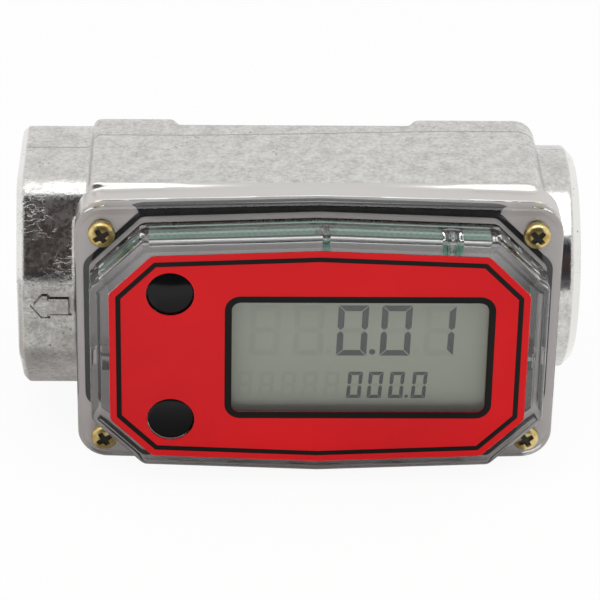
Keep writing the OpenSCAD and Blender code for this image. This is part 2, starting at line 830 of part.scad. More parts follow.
module turbine_rotor() {
    color(rotor_c) difference() {
        union() {
            along(mid_x - rotor_hub_l / 2) cylinder(h = rotor_hub_l, d = rotor_hub_d);
            intersection() {
                along(mid_x - rotor_hub_l / 2) cylinder(h = rotor_hub_l, r = tip_r);
                round_rotor(vane_count, vane_start / vane_count)
                    rotate(vane_angle)
                        translate([0, 0, rotor_hub_d / 2 - vane_root])
                            pad(vane_chord, vane_t, tip_r);
            }
        }
        along(mid_x - rotor_hub_l / 2 - over)
            cylinder(h = rotor_hub_l + 2 * over, r = spindle_hole_r + bore_relief);
        for (x = [mid_x - rotor_hub_l / 2 - over, mid_x + rotor_hub_l / 2 + bush_out - bush_l])
            along(x) cylinder(h = bush_l - bush_out + over, d = bush_d);
        round_rotor(magnet_count, (vane_start + 180) / vane_count)
            translate([0, 0, magnet_in]) cylinder(h = rotor_hub_d / 2 - magnet_in + over, d = magnet_d);
    }
}

module rotor_bushes() {
    color(copper_c)
        for (x = [mid_x - rotor_hub_l / 2 - bush_out, mid_x + rotor_hub_l / 2 + bush_out - bush_l])
            along(x) difference() {
                cylinder(h = bush_l, d = bush_d);
                translate([0, 0, -over]) cylinder(h = bush_l + 2 * over, r = spindle_hole_r);
            }
}

module rotor_magnets() {
    color(magnet_c)
        round_rotor(magnet_count, (vane_start + 180) / vane_count)
            translate([0, 0, magnet_in]) cylinder(h = rotor_hub_d / 2 - magnet_in - magnet_sink, d = magnet_d);
}

meter_casting();
cover_gasket();
clear_cover();
face_label();
cover_screws();
upper_button();
lower_button();
upper_plunger();
lower_plunger();
switch_bodies();
circuit_board();
controller_chip();
capacitor();
crystal();
board_screws();
lcd_glass();
lcd_frame();
lcd_connectors();
battery_tray();
upper_cell();
lower_cell();
spring_contacts();
plate_contacts();
pickup_bobbin();
pickup_winding();
pickup_core();
pickup_pins();
outlet_support();
inlet_support();
outlet_ring();
inlet_ring();
spindle();
thrust_washers();
turbine_rotor();
rotor_bushes();
rotor_magnets();
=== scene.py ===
"""Digital turbine flow meter: cast body, clear cover, label, display and inner works, dressed to render."""

import logging
import math
from dataclasses import dataclass, field
from enum import Enum
from functools import cached_property
from typing import Callable, Iterable, Sequence

import bmesh
import bpy
from mathutils import Matrix, Vector


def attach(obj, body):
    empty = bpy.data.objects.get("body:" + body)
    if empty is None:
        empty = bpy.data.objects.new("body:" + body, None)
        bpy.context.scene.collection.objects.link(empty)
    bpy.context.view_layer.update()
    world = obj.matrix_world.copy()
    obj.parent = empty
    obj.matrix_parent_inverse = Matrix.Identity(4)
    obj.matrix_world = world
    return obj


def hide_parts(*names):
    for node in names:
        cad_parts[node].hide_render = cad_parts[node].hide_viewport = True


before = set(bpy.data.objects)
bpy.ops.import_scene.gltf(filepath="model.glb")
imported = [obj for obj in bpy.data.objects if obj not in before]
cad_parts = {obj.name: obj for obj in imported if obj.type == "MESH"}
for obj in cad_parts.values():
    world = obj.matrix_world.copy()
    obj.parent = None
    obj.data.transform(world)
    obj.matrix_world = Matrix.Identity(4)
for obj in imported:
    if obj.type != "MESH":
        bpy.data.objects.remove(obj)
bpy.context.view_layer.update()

LOG = logging.getLogger("flow_meter")
MM = 0.001
SEED = 11
METER = "meter"
LEAST_R = 0.002
OVERRUN = 1.0
SLIP = 0.05
CASTING_TRIANGLES = 185000

Point = tuple[float, float]
Spot = tuple[float, float, float]
Place = Callable[[float, float, float], Spot]
Colour = tuple[float, float, float, float]
Tone = str | float
Tree = bpy.types.NodeTree
Node = bpy.types.Node
Socket = bpy.types.NodeSocket
SOCKET_KINDS = {float: "NodeSocketFloat", int: "NodeSocketInt", bpy.types.Object: "NodeSocketObject"}


class Operation(Enum):
    """Ways in which one solid changes another."""

    JOIN = "UNION"
    CUT = "DIFFERENCE"


# Places and outlines


@dataclass(frozen=True)
class Layout:
    """Main places of the meter, in millimetres from the outlet mouth and the flow axis."""

    length: float = 108.0
    outlet_hub: float = 13.9
    inlet_hub: float = 7.5
    middle_x: float = 57.2
    middle_z: float = -2.35
    block_low: float = -30.5
    block_high: float = 25.8
    pad_h: float = 20.3
    rim_h: float = 25.6
    board_h: float = 29.6
    wall_h: float = 35.1
    label_h: float = 37.3
    face_h: float = 37.6
    seat_h: float = 29.07
    outlet_bevel: float = 1.2
    inlet_bevel: float = 1.9
    mouth_r: float = 17.1
    button_hole_r: float = 4.43
    screw_hole_r: float = 1.5
    notch_z: float = -1.6
    notch_w: float = 3.7

    def facing(self, u: float, v: float, h: float) -> Spot:
        """Place of a point u right and v up from the display's middle, h in front of the flow axis."""
        return self.middle_x + u, -h, self.middle_z + v

    def front(self, x: float, z: float, h: float) -> Spot:
        """Place of a point x from the outlet mouth and z above the flow axis, h in front of it."""
        return x, -h, z

    def along(self, y: float, z: float, x: float) -> Spot:
        """Place of a point y, z off the flow axis, x from the outlet mouth."""
        return x, y, z

    def upright(self, x: float, y: float, z: float) -> Spot:
        """The point itself, where heights run up."""
        return x, y, z


LAYOUT = Layout()
SCREW_PLACES: list[Point] = [(x * 40.65, z * 21.9) for x in (-1, 1) for z in (-1, 1)]
BUTTON_PLACES: list[Point] = [(-27.8, 13.4), (-27.8, -13.4)]
POST_PLACES: list[Point] = [(0.99, 19.3), (24.45, 19.3), (24.45, -19.3), (0.99, -19.3), (-36.04, 0.0)]


def rounded(points: Sequence[Point], radius: float | Sequence[float], step: float = 7.5) -> list[Point]:
    """Rounds each corner of a convex outline that runs anticlockwise.

    Args:
        points: the sharp corners.
        radius: one radius, or one for each corner.
        step: most degrees between two points of an arc.

    Returns:
        The outline's points.
    """
    found: list[Point] = []
    count = len(points)
    for i, corner in enumerate(points):
        r = radius[i] if isinstance(radius, (list, tuple)) else radius
        here = Vector(corner)
        back = (Vector(points[i - 1]) - here).normalized()
        ahead = (Vector(points[(i + 1) % count]) - here).normalized()
        half = math.acos(max(-1.0, min(1.0, back.dot(ahead)))) / 2
        middle = here + (back + ahead).normalized() * r / math.sin(half)
        first = here + back * r / math.tan(half) - middle
        start = math.atan2(first.y, first.x)
        turn = math.pi - 2 * half
        # The margin keeps the count the same for every inset of one outline.
        steps = max(1, math.ceil(math.degrees(turn) / step - 0.4))
        for k in range(steps + 1):
            angle = start + turn * k / steps
            found.append((middle.x + r * math.cos(angle), middle.y + r * math.sin(angle)))
    return found


@dataclass(frozen=True)
class Outline:
    """A plate seen from the front: cut or square corners, and long edges that rise to a blunt point."""

    width: float
    height: float
    radius: float
    cut: float = 0.0
    crown: float = 1.2

    def ring(self, inset: float = 0.0) -> list[Point]:
        """Points of the outline, drawn in or out.

        Args:
            inset: how far it is drawn in, or out where that is negative.

        Returns:
            The outline's points.
        """
        a, b = self.width / 2 - inset, self.height / 2 - inset
        top = b + self.crown
        radius = max(self.radius - inset, 0.12)
        if not self.cut:
            return rounded([(a, -b), (a, b), (0, top), (-a, b), (-a, -b), (0, -top)], radius)
        c = self.cut - inset * (2 - math.sqrt(2))
        corners = [(a, c - b), (a, b - c), (a - c, b), (0, top), (c - a, b), (-a, b - c)]
        corners += [(-a, c - b), (c - a, -b), (0, -top), (a - c, -b)]
        return rounded(corners, radius)


COVER = Outline(91.6, 53.7, 5.8)
DOME = Outline(85.8, 48.0, 2.0, 9.8)
LABEL = Outline(78.4, 42.6, 1.8, 7.925)


def rectangle(width: float, height: float, radius: float, inset: float = 0.0) -> list[Point]:
    """Points of a rectangle about the origin with round corners, drawn in by inset."""
    a, b = width / 2 - inset, height / 2 - inset
    return rounded([(a, -b), (a, b), (-a, b), (-a, -b)], max(radius - inset, 0.05))


def octagon(flats: float, radius: float, inset: float = 0.0) -> list[Point]:
    """Points of a regular octagon.

    Args:
        flats: distance across its flats.
        radius: corner radius.
        inset: how far the outline is drawn in.

    Returns:
        The outline's points.
    """
    a = flats / 2 - inset
    c = a * math.tan(math.pi / 8)
    corners = [(a, -c), (a, c), (c, a), (-c, a), (-a, c), (-a, -c), (-c, -a), (c, -a)]
    return rounded(corners, max(radius - inset, 0.5), 5)


def steep_octagon(flats: float, radius: float, reach: float, rise: float, inset: float = 0.0) -> list[Point]:
    """Points of an octagon whose upper front facet is steep, drawn in by inset.

    Args:
        flats: distance across its flats.
        radius: corner radius.
        reach: how far the top flat comes forwards.
        rise: height of the front flat's upper end.
        inset: how far the outline is drawn in.

    Returns:
        The outline's points, with y and z off the flow axis.
    """
    a = flats / 2
    c = a * math.tan(math.pi / 8)
    drawn, slant = a - inset, math.atan2(a - reach, a - rise)
    back = c - inset * math.tan(math.pi / 8)
    top = reach - inset * math.tan((math.pi / 2 - slant) / 2)
    front = rise - inset * math.tan(slant / 2)
    corners = [(drawn, -back), (drawn, back), (back, drawn), (-top, drawn)]
    corners += [(-drawn, front), (-drawn, -back), (-back, -drawn), (back, -drawn)]
    return rounded(corners, max(radius - inset, 0.5), 5)


def circle(radius: float, sides: int = 64, middle: Point = (0.0, 0.0)) -> list[Point]:
    """Points of a circle."""
    angles = [2 * math.pi / sides * i for i in range(sides)]
    return [(middle[0] + radius * math.cos(a), middle[1] + radius * math.sin(a)) for a in angles]


def shift(points: Iterable[Point], du: float, dv: float) -> list[Point]:
    """The same outline, moved."""
    return [(u + du, v + dv) for u, v in points]


def edge_stations(low: float, high: float, lower_r: float, upper_r: float, steps: int = 5) -> list[Point]:
    """Heights and insets of a wall whose lower and upper edges are rounded.

    Args:
        low: the wall's lower height.
        high: its upper height.
        lower_r: radius of the lower edge, or zero.
        upper_r: radius of the upper edge, or zero.
        steps: straight lines in each rounded edge.

    Returns:
        Pairs of height and inset, from low to high.
    """
    found: list[Point] = []
    for i in range(steps + 1 if lower_r else 1):
        angle = math.pi / 2 * i / steps
        found.append((low + lower_r * (1 - math.cos(angle)), lower_r * (1 - math.sin(angle))))
    for i in range(steps + 1 if upper_r else 1):
        angle = math.pi / 2 * i / steps
        found.append((high - upper_r * (1 - math.sin(angle)), upper_r * (1 - math.cos(angle))))
    return found


# Solids


def put(name: str, data: bpy.types.ID) -> bpy.types.Object:
    """A new object in the scene."""
    made = bpy.data.objects.new(name, data)
    bpy.context.scene.collection.objects.link(made)
    return made


class Solid:
    """A closed mesh in millimetres that can be joined, cut and finished as a piece."""

    def __init__(self, name: str, vertices: Sequence[Spot], faces: Sequence[Sequence[int]]) -> None:
        """Makes the mesh and points its faces outwards.

        Args:
            name: the piece's name.
            vertices: places in millimetres.
            faces: indices of each face's corners.
        """
        mesh = bpy.data.meshes.new(name)
        mesh.from_pydata([tuple(v) for v in vertices], [], [tuple(f) for f in faces])
        work = bmesh.new()
        work.from_mesh(mesh)
        bmesh.ops.recalc_face_normals(work, faces=work.faces)
        work.to_mesh(mesh)
        work.free()
        self.object = put(name, mesh)

    @classmethod
    def loft(cls, name: str, rings: Sequence[Sequence[Spot]]) -> "Solid":
        """A solid through rings, closed by a flat face at both ends.

        Args:
            name: the piece's name.
            rings: points of each ring, equally many.

        Returns:
            The solid.
        """
        count = len(rings[0])
        faces = [list(range(count))[::-1]]
        for k in range(len(rings) - 1):
            low, high = k * count, (k + 1) * count
            for i in range(count):
                j = (i + 1) % count
                faces.append([low + i, low + j, high + j, high + i])
        faces.append([(len(rings) - 1) * count + i for i in range(count)])
        return cls(name, [p for ring in rings for p in ring], faces)

    @classmethod
    def prism(
        cls, name: str, outline: Sequence[Point], low: float, high: float, place: Place = LAYOUT.facing
    ) -> "Solid":
        """A straight solid over an outline, between two heights."""
        return cls.loft(name, [[place(u, v, h) for u, v in outline] for h in (low, high)])

    @classmethod
    def band(
        cls, name: str, outer: Sequence[Point], inner: Sequence[Point], low: float, high: float
    ) -> "Solid":
        """A flat band between two outlines that face the front."""
        opening = cls.prism("opening", inner, low - OVERRUN, high + OVERRUN)
        return cls.prism(name, outer, low, high).cut(opening)

    @classmethod
    def walls(
        cls,
        name: str,
        ring: Callable[[float], list[Point]],
        stations: Sequence[Point],
        place: Place = LAYOUT.facing,
    ) -> "Solid":
        """A solid whose outline is drawn in by a given inset at each height."""
        return cls.loft(name, [[place(u, v, h) for u, v in ring(inset)] for h, inset in stations])

    @classmethod
    def lathe(
        cls,
        name: str,
        profile: Sequence[Point],
        middle: Point = (0.0, 0.0),
        sides: int = 64,
        place: Place = LAYOUT.facing,
    ) -> "Solid":
        """A turned solid whose profile is pairs of height and radius."""
        rings = [[place(u, v, h) for u, v in circle(max(r, LEAST_R), sides, middle)] for h, r in profile]
        return cls.loft(name, rings)

    def bake(self) -> "Solid":
        """Replaces the mesh by what its modifiers make of it.

        Returns:
            This solid.
        """
        graph = bpy.context.evaluated_depsgraph_get()
        made = bpy.data.meshes.new_from_object(self.object.evaluated_get(graph), depsgraph=graph)
        self.object.modifiers.clear()
        old, self.object.data = self.object.data, made
        bpy.data.meshes.remove(old)
        return self

    def change(self, operation: Operation, *others: "Solid") -> "Solid":
        """Changes this solid by others, which are used up.

        Args:
            operation: what they do to it.
            others: the other solids.

        Returns:
            This solid.
        """
        for other in others:
            modifier = self.object.modifiers.new(operation.name, "BOOLEAN")
            modifier.operation = operation.value
            modifier.solver = "MANIFOLD"
            modifier.object = other.object
        self.bake()
        for other in others:
            other.drop()
        return self

    def drop(self) -> None:
        """Takes the solid out of the file."""
        mesh = self.object.data
        bpy.data.objects.remove(self.object)
        bpy.data.meshes.remove(mesh)

    def join(self, *others: "Solid") -> "Solid":
        """Adds other solids to this one."""
        return self.change(Operation.JOIN, *others)

    def cut(self, *others: "Solid") -> "Solid":
        """Takes other solids away from this one."""
        return self.change(Operation.CUT, *others)

    def modify(self, kind: str, **settings: object) -> "Solid":
        """Applies one modifier.

        Args:
            kind: the modifier's type.
            settings: its properties.

        Returns:
            This solid.
        """
        modifier = self.object.modifiers.new(kind, kind)
        for name, value in settings.items():
            setattr(modifier, name, value)
        return self.bake()

    def piece(
        self,
        finish: "Finish",
        body: str = METER,
        slot: str = "",
        stands_for: Sequence[str] = (),
        sharp: float = 32.0,
    ) -> bpy.types.Object:
        """Turns the solid to metres, shades and dresses it, and lets it ride on a body.

        Args:
            finish: its material.
            body: the body that carries it.
            slot: not used.
            stands_for: nodes that it replaces.
            sharp: edges steeper than this many degrees stay sharp.

        Returns:
            The finished object.
        """
        mesh = self.object.data
        mesh.transform(Matrix.Scale(MM, 4))
        mesh.shade_smooth()
        mesh.set_sharp_from_angle(angle=math.radians(sharp))
        mesh.materials.clear()
        mesh.materials.append(finish.material())
        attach(self.object, body)
        if stands_for:
            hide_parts(*stands_for)
        LOG.info("%s: %d faces, finish %s", self.object.name, len(mesh.polygons), finish.name)
        return self.object


# Materials


def linear(hex_colour: str) -> Colour:
    """Linear values of an sRGB colour such as #8090a0."""
    values = [int(hex_colour[i : i + 2], 16) / 255 for i in (1, 3, 5)]
    red, green, blue = (c / 12.92 if c <= 0.04045 else ((c + 0.055) / 1.055) ** 2.4 for c in values)
    return red, green, blue, 1.0


def grey(value: float) -> Colour:
    """A plain value in the form of a colour."""
    return value, value, value, 1.0


def per_mm(size_mm: float) -> float:
    """Scale of a texture whose lumps are about that wide."""
    return 1 / (size_mm * MM)


def add_node(tree: Tree, kind: str, *terms: object, **values: object) -> Node:
    """Adds a node with its settings and links.

    Args:
        tree: the tree that gets the node.
        kind: the node's type.
        terms: outputs or values for its first inputs.
        values: its settings, a colour ramp's stops, and other inputs by name. An input's name
            starts with a capital and has _ for a space.

    Returns:
        The node.
    """
    node = tree.nodes.new(kind)
    inputs: dict[int | str, object] = dict(enumerate(terms))
    for i, (at, tone) in enumerate(values.pop("stops", ())):
        points = node.color_ramp.elements
        if i == 0:
            points.remove(points[1])
        point = points.new(at) if i else points[0]
        point.position = at
        point.color = linear(tone) if isinstance(tone, str) else grey(tone)
    for name, value in values.items():
        if name[0].isupper():
            inputs[name.replace("_", " ")] = value
        else:
            setattr(node, name, value)
    for key, value in inputs.items():
        if isinstance(value, Socket):
            tree.links.new(value, node.inputs[key])
        else:
            node.inputs[key].default_value = linear(value) if isinstance(value, str) else value
    return node


class Paint:
    """The nodes of a material or of the world, and the patterns that the finishes share."""

    def __init__(self, owner: bpy.types.Material | bpy.types.World) -> None:
        """Starts from an empty tree."""
        owner.use_nodes = True
        self.owner, self.tree = owner, owner.node_tree
        self.tree.nodes.clear()

    def add(self, kind: str, *terms: object, output: int | str = 0, **values: object) -> Socket:
        """Adds a node. A texture follows the object's own coordinates, unless it gets others.

        Args:
            kind: the node's type after ShaderNode.
            terms: outputs or values for its first inputs.
            output: index or name of the output that is wanted.
            values: its settings, a colour ramp's stops, and other inputs by name.

        Returns:
            The output.
        """
        if kind.startswith("Tex") and kind != "TexCoord":
            values = {"Vector": self.place, **values}
        return add_node(self.tree, "ShaderNode" + kind, *terms, **values).outputs[output]

    def end(self, surface: Socket, kind: str = "OutputMaterial") -> bpy.types.Material | bpy.types.World:
        """Ends the tree with its surface and returns whose it is."""
        add_node(self.tree, "ShaderNode" + kind, surface)
        return self.owner

    @cached_property
    def place(self) -> Socket:
        """Object coordinates in metres."""
        return self.add("TexCoord", output="Object")

    @cached_property
    def axes(self) -> dict[str, Socket]:
        """The place's X, Y and Z."""
        return {axis: self.add("SeparateXYZ", self.place, output=axis) for axis in "XYZ"}

    @cached_property
    def seen(self) -> Socket:
        """One for what the camera, metal and clear plastic see, and zero for light on the object."""
        kinds = ("Camera", "Glossy", "Transmission")
        return self.chain("MAXIMUM", *[self.add("LightPath", output=f"Is {kind} Ray") for kind in kinds])

    def chain(self, operation: str, *terms: Socket | float) -> Socket:
        """Joins values one after another by one operation.

        Args:
            operation: the operation's name.
            terms: the values.

        Returns:
            The joined value.
        """
        found = terms[0]
        for term in terms[1:]:
            found = self.add("Math", found, term, operation=operation)
        return found

    def zone(self, *edges: tuple[Socket, float, float]) -> Socket:
        """One where every coordinate is past its edge, zero elsewhere.

        Args:
            edges: for each edge a coordinate, where it starts and where it is passed, in millimetres.

        Returns:
            The zone's share.
        """
        steps = [self.add("MapRange", value, start * MM, end * MM) for value, start, end in edges]
        return self.chain("MULTIPLY", *steps)

    def drift(
        self, size_mm: float, one: Tone, other: Tone, low: float = 0.3, high: float = 0.7, **noise: float
    ) -> Socket:
        """Two tones that drift into each other over soft patches.

        Args:
            size_mm: how wide the patches are, about.
            one: the tone where the noise is low.
            other: the tone where it is high.
            low: the noise at which the first tone ends.
            high: the noise at which the other begins.
            noise: other inputs of the noise.

        Returns:
            The tone.
        """
        patch = self.add("TexNoise", **{"Scale": per_mm(size_mm), "Detail": 3.0, **noise})
        return self.add("ValToRGB", patch, stops=[(low, one), (high, other)])

    def layers(self, base: Socket, *over: tuple[Socket, Tone]) -> Socket:
        """A tone with others laid over it.

        Args:
            base: the tone at the bottom.
            over: for each layer its share and its tone.

        Returns:
            The tone that results.
        """
        for share, tone in over:
            top = tone if isinstance(tone, str) else grey(tone)
            base = self.add("Mix", data_type="RGBA", Factor=share, A=base, B=top, output="Result")
        return base

    def relief(self, *bumps: tuple[Socket, float, float | Socket]) -> Socket:
        """Bumps on one another.

        Args:
            bumps: for each its height, its depth in millimetres and its strength.

        Returns:
            The normal.
        """
        under: dict[str, Socket] = {}
        for height, depth_mm, strength in bumps:
            normal = self.add("Bump", Height=height, Distance=depth_mm * MM, Strength=strength, **under)
            under = {"Normal": normal}
        return under["Normal"]


@dataclass(frozen=True)
class Finish:
    """What a surface is made of. Each kind gives its own nodes."""

    name: str

    def material(self) -> bpy.types.Material:
        """The material, made once.

        Returns:
            The material.
        """
        found = bpy.data.materials.get(self.name)
        if not found:
            paint = Paint(bpy.data.materials.new(self.name))
            found = paint.end(self.dress(paint))
        return found

    def dress(self, paint: Paint) -> Socket:
        """Adds the patterns and gives the surface."""
        raise NotImplementedError


@dataclass(frozen=True)
class MouldedPlastic(Finish):
    """Injection-moulded plastic: one colour through, a fine spark-eroded grain and slightly uneven gloss."""

    colour: str
    shade: str
    gloss: float
    grain_mm: float = 0.25
    grain_depth_mm: float = 0.012
    specular: float = 0.5

    def dress(self, paint: Paint) -> Socket:
        """Colour drifts over centimetres, gloss over millimetres, and the grain is a shallow bump.

        Args:
            paint: the material's tree.

        Returns:
            The surface.
        """
        grain = paint.add("TexNoise", Scale=per_mm(self.grain_mm), Detail=2.0)
        return paint.add(
            "BsdfPrincipled",
            Base_Color=paint.drift(9.0, self.shade, self.colour),
            Roughness=paint.drift(2.5, self.gloss * 0.85, min(1.0, self.gloss * 1.15)),
            Normal=paint.relief((grain, self.grain_depth_mm, 1.0)),
            IOR=1.49,
            Specular_IOR_Level=self.specular,
        )


@dataclass(frozen=True)
class SealFoam(Finish):
    """Matt foam seal: pale by the display, darker at its left and right sides and darkest at the inlet side,
    with painted shade at the cover's notches.
    """

    middle_tone: str = "#b4aeaf"
    outlet_side_tone: str = "#7c7577"
    inlet_side_tone: str = "#454042"
    # Painted shade under the cover's notches.
    notch_shade: str = "#1d1a1c"
    left_mm: float = 11.0
    right_mm: float = 103.0

    def dress(self, paint: Paint) -> Socket:
        """The tone follows the length, over a soft blotch.

        Args:
            paint: the material's tree.

        Returns:
            The surface.
        """
        x, z = paint.axes["X"], paint.axes["Z"]
        share = paint.zone((x, self.left_mm, self.right_mm))
        blotch = paint.add("TexNoise", Scale=per_mm(5.0), Detail=3.0)
        share = paint.chain("ADD", share, paint.chain("MULTIPLY", blotch, 0.02))
        stops = [(0.08, self.outlet_side_tone), (0.14, self.middle_tone), (0.86, self.middle_tone), (0.94, self.inlet_side_tone)]
        tint = paint.add("ValToRGB", share, stops=stops)
        # Painted shade: a dark band across the seal under each of the cover's notches.
        low, high = (LAYOUT.middle_z + LAYOUT.notch_z + side * LAYOUT.notch_w / 2 for side in (-1, 1))
        notch = paint.zone((z, low - 0.1, low + 0.1), (z, high + 0.1, high - 0.1))
        tint = paint.layers(tint, (notch, self.notch_shade))
        return paint.add("BsdfPrincipled", Base_Color=tint, Roughness=0.8)


@dataclass(frozen=True)
class BrightMetal(Finish):
    """Drawn, turned or plated metal: a clean tint with fine marks and patches of duller polish."""

    colour: str = "#b9bcc0"
    shade: str = "#9da0a4"
    gloss: float = 0.25

    def dress(self, paint: Paint) -> Socket:
        """Tint and roughness vary together, and a faint bump breaks the highlights.

        Args:
            paint: the material's tree.

        Returns:
            The surface.
        """
        marks = paint.add("TexNoise", Scale=per_mm(0.4), Detail=2.0)
        return paint.add(
            "BsdfPrincipled",
            Base_Color=paint.drift(1.6, self.shade, self.colour, 0.35, 0.65),
            Roughness=paint.drift(1.6, self.gloss * 1.5, self.gloss),
            Normal=paint.relief((marks, 0.006, 1.0)),
            Metallic=1.0,
        )


@dataclass(frozen=True)
class CastAluminium(Finish):
    """Tumbled aluminium casting: bright tumbled skin with dull mottling, pits, scratches and a mould line,
    and painted shade in blotches over the outlet hub's front.
    """

    bright: str = "#d4d3d0"
    dull: str = "#b2b0ad"
    stain: str = "#7e7b77"
    # Painted shade over the outlet hub's front.
    painted_hub_shade: str = "#8f8a86"
    even: str = "#c9c6c3"
    seated: str = "#bab3b2"
    turned: str = "#e6e5e2"
    even_rough: float = 0.3
    seated_rough: float = 0.62
    seated_metal: float = 0.12
    inlet_rough: float = 0.16
    inlet_calm: float = 0.8

    def dress(self, paint: Paint) -> Socket:
        """Mottling drives tint and polish together; pits, grain and scratches are dark and sunk.

        Args:
            paint: the material's tree.

        Returns:
            The surface.
        """
        x, y = paint.axes["X"], paint.axes["Y"]
        pad, top, face = LAYOUT.pad_h, LAYOUT.rim_h, LAYOUT.length - LAYOUT.inlet_hub
        left, right = (LAYOUT.middle_x + side * COVER.width / 2 for side in (-1, 1))
        low, high = LAYOUT.outlet_bevel, LAYOUT.length - LAYOUT.inlet_bevel
        beside = ((x, left - 0.2, left - 0.05), (x, right + 0.2, right + 0.05))
        rim = paint.zone((y, 0.05 - pad, -0.1 - pad), *beside)
        seat = paint.zone((y, 0.35 - top, 0.2 - top))
        hub = paint.zone((y, 2.8 - pad, -1.2 - pad), (x, left + 0.6, left + 0.2))
        inlet = paint.chain("MULTIPLY", paint.zone((x, face + 0.1, face + 1.1)), self.inlet_calm)
        mouths = paint.zone((x, low + 0.2, low - 0.2)), paint.zone((x, high, high + 0.4))
        ends = paint.chain("MAXIMUM", *mouths)
        cast = paint.chain("SUBTRACT", 1.0, rim)

        mottle = paint.add("TexNoise", Scale=per_mm(3.2), Detail=6.0, Roughness=0.62)
        speck = paint.add("TexNoise", Scale=per_mm(0.8), Detail=4.0, Roughness=0.7)
        half = paint.chain("MULTIPLY", paint.chain("ADD", mottle, speck), 0.5)
        tint = paint.add("ValToRGB", half, stops=[(0.36, self.dull), (0.62, self.bright)])
        # Painted shade: blotches darken the outlet hub's front, standing in for the darker reflection that it
        # shows.
        blotch = paint.drift(4.5, 0.1, 0.5, 0.42, 0.62, Detail=5.0, Roughness=0.6)
        painted_hub_shade = paint.chain("MULTIPLY", blotch, hub)
        skins = ((painted_hub_shade, self.painted_hub_shade), (rim, self.even), (seat, self.seated), (ends, self.turned))
        tint = paint.layers(tint, *skins)
        seam = paint.chain("MULTIPLY", self.mould_line(paint), paint.chain("SUBTRACT", 1.0, ends))
        marks = paint.chain("MAXIMUM", self.pits(paint, hub), self.scratches(paint), seam)
        marks = paint.chain("MULTIPLY", marks, cast)
        polish = paint.add("ValToRGB", half, stops=[(0.40, 0.36), (0.52, 0.25), (0.62, 0.17)])

        live = paint.chain("MULTIPLY", cast, paint.chain("SUBTRACT", 1.0, inlet))
        sunk = paint.chain("SUBTRACT", 1.0, marks)
        bumps = [
            (height, depth_mm, paint.chain("MULTIPLY", live, strength))
            for height, depth_mm, strength in ((mottle, 0.10, 0.55), (speck, 0.05, 0.6), (sunk, 0.12, 0.8))
        ]
        rough = ((inlet, self.inlet_rough), (rim, self.even_rough), (seat, self.seated_rough))
        return paint.add(
            "BsdfPrincipled",
            Base_Color=paint.layers(tint, (marks, self.stain)),
            Roughness=paint.layers(polish, *rough),
            Normal=paint.relief(*bumps),
            Metallic=paint.add("MapRange", seat, To_Min=1.0, To_Max=self.seated_metal),
        )

    def pits(self, paint: Paint, hub: Socket) -> Socket:
        """Gas pits about 0.3 mm wide, gathered in patches and on the outlet hub's front.

        Args:
            paint: the material's tree.
            hub: share of the outlet hub's front.

        Returns:
            The pits' share.
        """
        cells = paint.add("TexVoronoi", Scale=per_mm(1.7), output="Distance")
        near = paint.add("ValToRGB", cells, stops=[(0.08, 0.9), (0.17, 0.0)])
        where = paint.drift(7.0, 0.0, 0.9, 0.52, 0.62)
        where = paint.chain("MAXIMUM", where, paint.chain("MULTIPLY", hub, 0.45))
        return paint.chain("MULTIPLY", near, where)

    def scratches(self, paint: Paint) -> Socket:
        """Short handling marks that run mostly along the meter, about 0.15 mm wide.

        Args:
            paint: the material's tree.

        Returns:
            The scratches' share.
        """
        drawn = paint.add("Mapping", paint.place, Scale=(0.4, 1.0, 1.0))
        lines = paint.add("TexNoise", Vector=drawn, Scale=per_mm(1.4), Detail=5.0, Distortion=0.6)
        thin = paint.add("ValToRGB", lines, stops=[(0.485, 0.0), (0.5, 0.5), (0.515, 0.0)])
        return paint.chain("MULTIPLY", thin, paint.drift(12.0, 0.0, 0.8, 0.5, 0.66))

    def mould_line(self, paint: Paint) -> Socket:
        """The seam where the mould's halves met: it steps back along the block, outside the ports.

        Args:
            paint: the material's tree.

        Returns:
            The seam's share.
        """
        seam: Socket | float = 0.0
        for sizes in ((13.2, 15.5, -1.5, 0.2), (28.0, 90.0, 0.0, 2.3), (99.5, 101.0, 0.0, 1.1)):
            run = [size * MM for size in sizes]
            step = paint.add("MapRange", paint.axes["X"], *run, interpolation_type="SMOOTHSTEP")
            seam = paint.chain("ADD", seam, step)
        waver = paint.add("TexNoise", Scale=per_mm(5.0), Detail=3.0)
        seam = paint.chain("ADD", seam, paint.chain("MULTIPLY", waver, 0.5 * MM))
        away = paint.add("Math", paint.chain("SUBTRACT", paint.axes["Y"], seam), operation="ABSOLUTE")
        line = paint.add("MapRange", away, 0.05 * MM, 0.22 * MM, 0.7, 0.0)
        across = paint.add("VectorMath", paint.place, (0.0, 1.0, 1.0), operation="MULTIPLY")
        radius = paint.add("VectorMath", across, operation="LENGTH", output="Value")
        outside = paint.zone((radius, LAYOUT.mouth_r + 0.1, LAYOUT.mouth_r + 0.3))
        return paint.chain("MULTIPLY", line, outside)


@dataclass(frozen=True)
class ClearPolycarbonate(Finish):
    """Clear moulded polycarbonate: glossy and see-through, with a faint grey tint and soft flow lines."""

    tint: str = "#eef1f0"

    def dress(self, paint: Paint) -> Socket:
        """Only a very shallow waviness, which bends reflections as a moulded face does.

        Args:
            paint: the material's tree.

        Returns:
            The surface.
        """
        waves = paint.add("TexNoise", Scale=per_mm(6.0), Detail=1.0)
        return paint.add(
            "BsdfPrincipled",
            Base_Color=self.tint,
            Roughness=paint.drift(4.0, 0.02, 0.06),
            Normal=paint.relief((waves, 0.03, 0.5)),
            Transmission_Weight=1.0,
            IOR=1.585,
        )


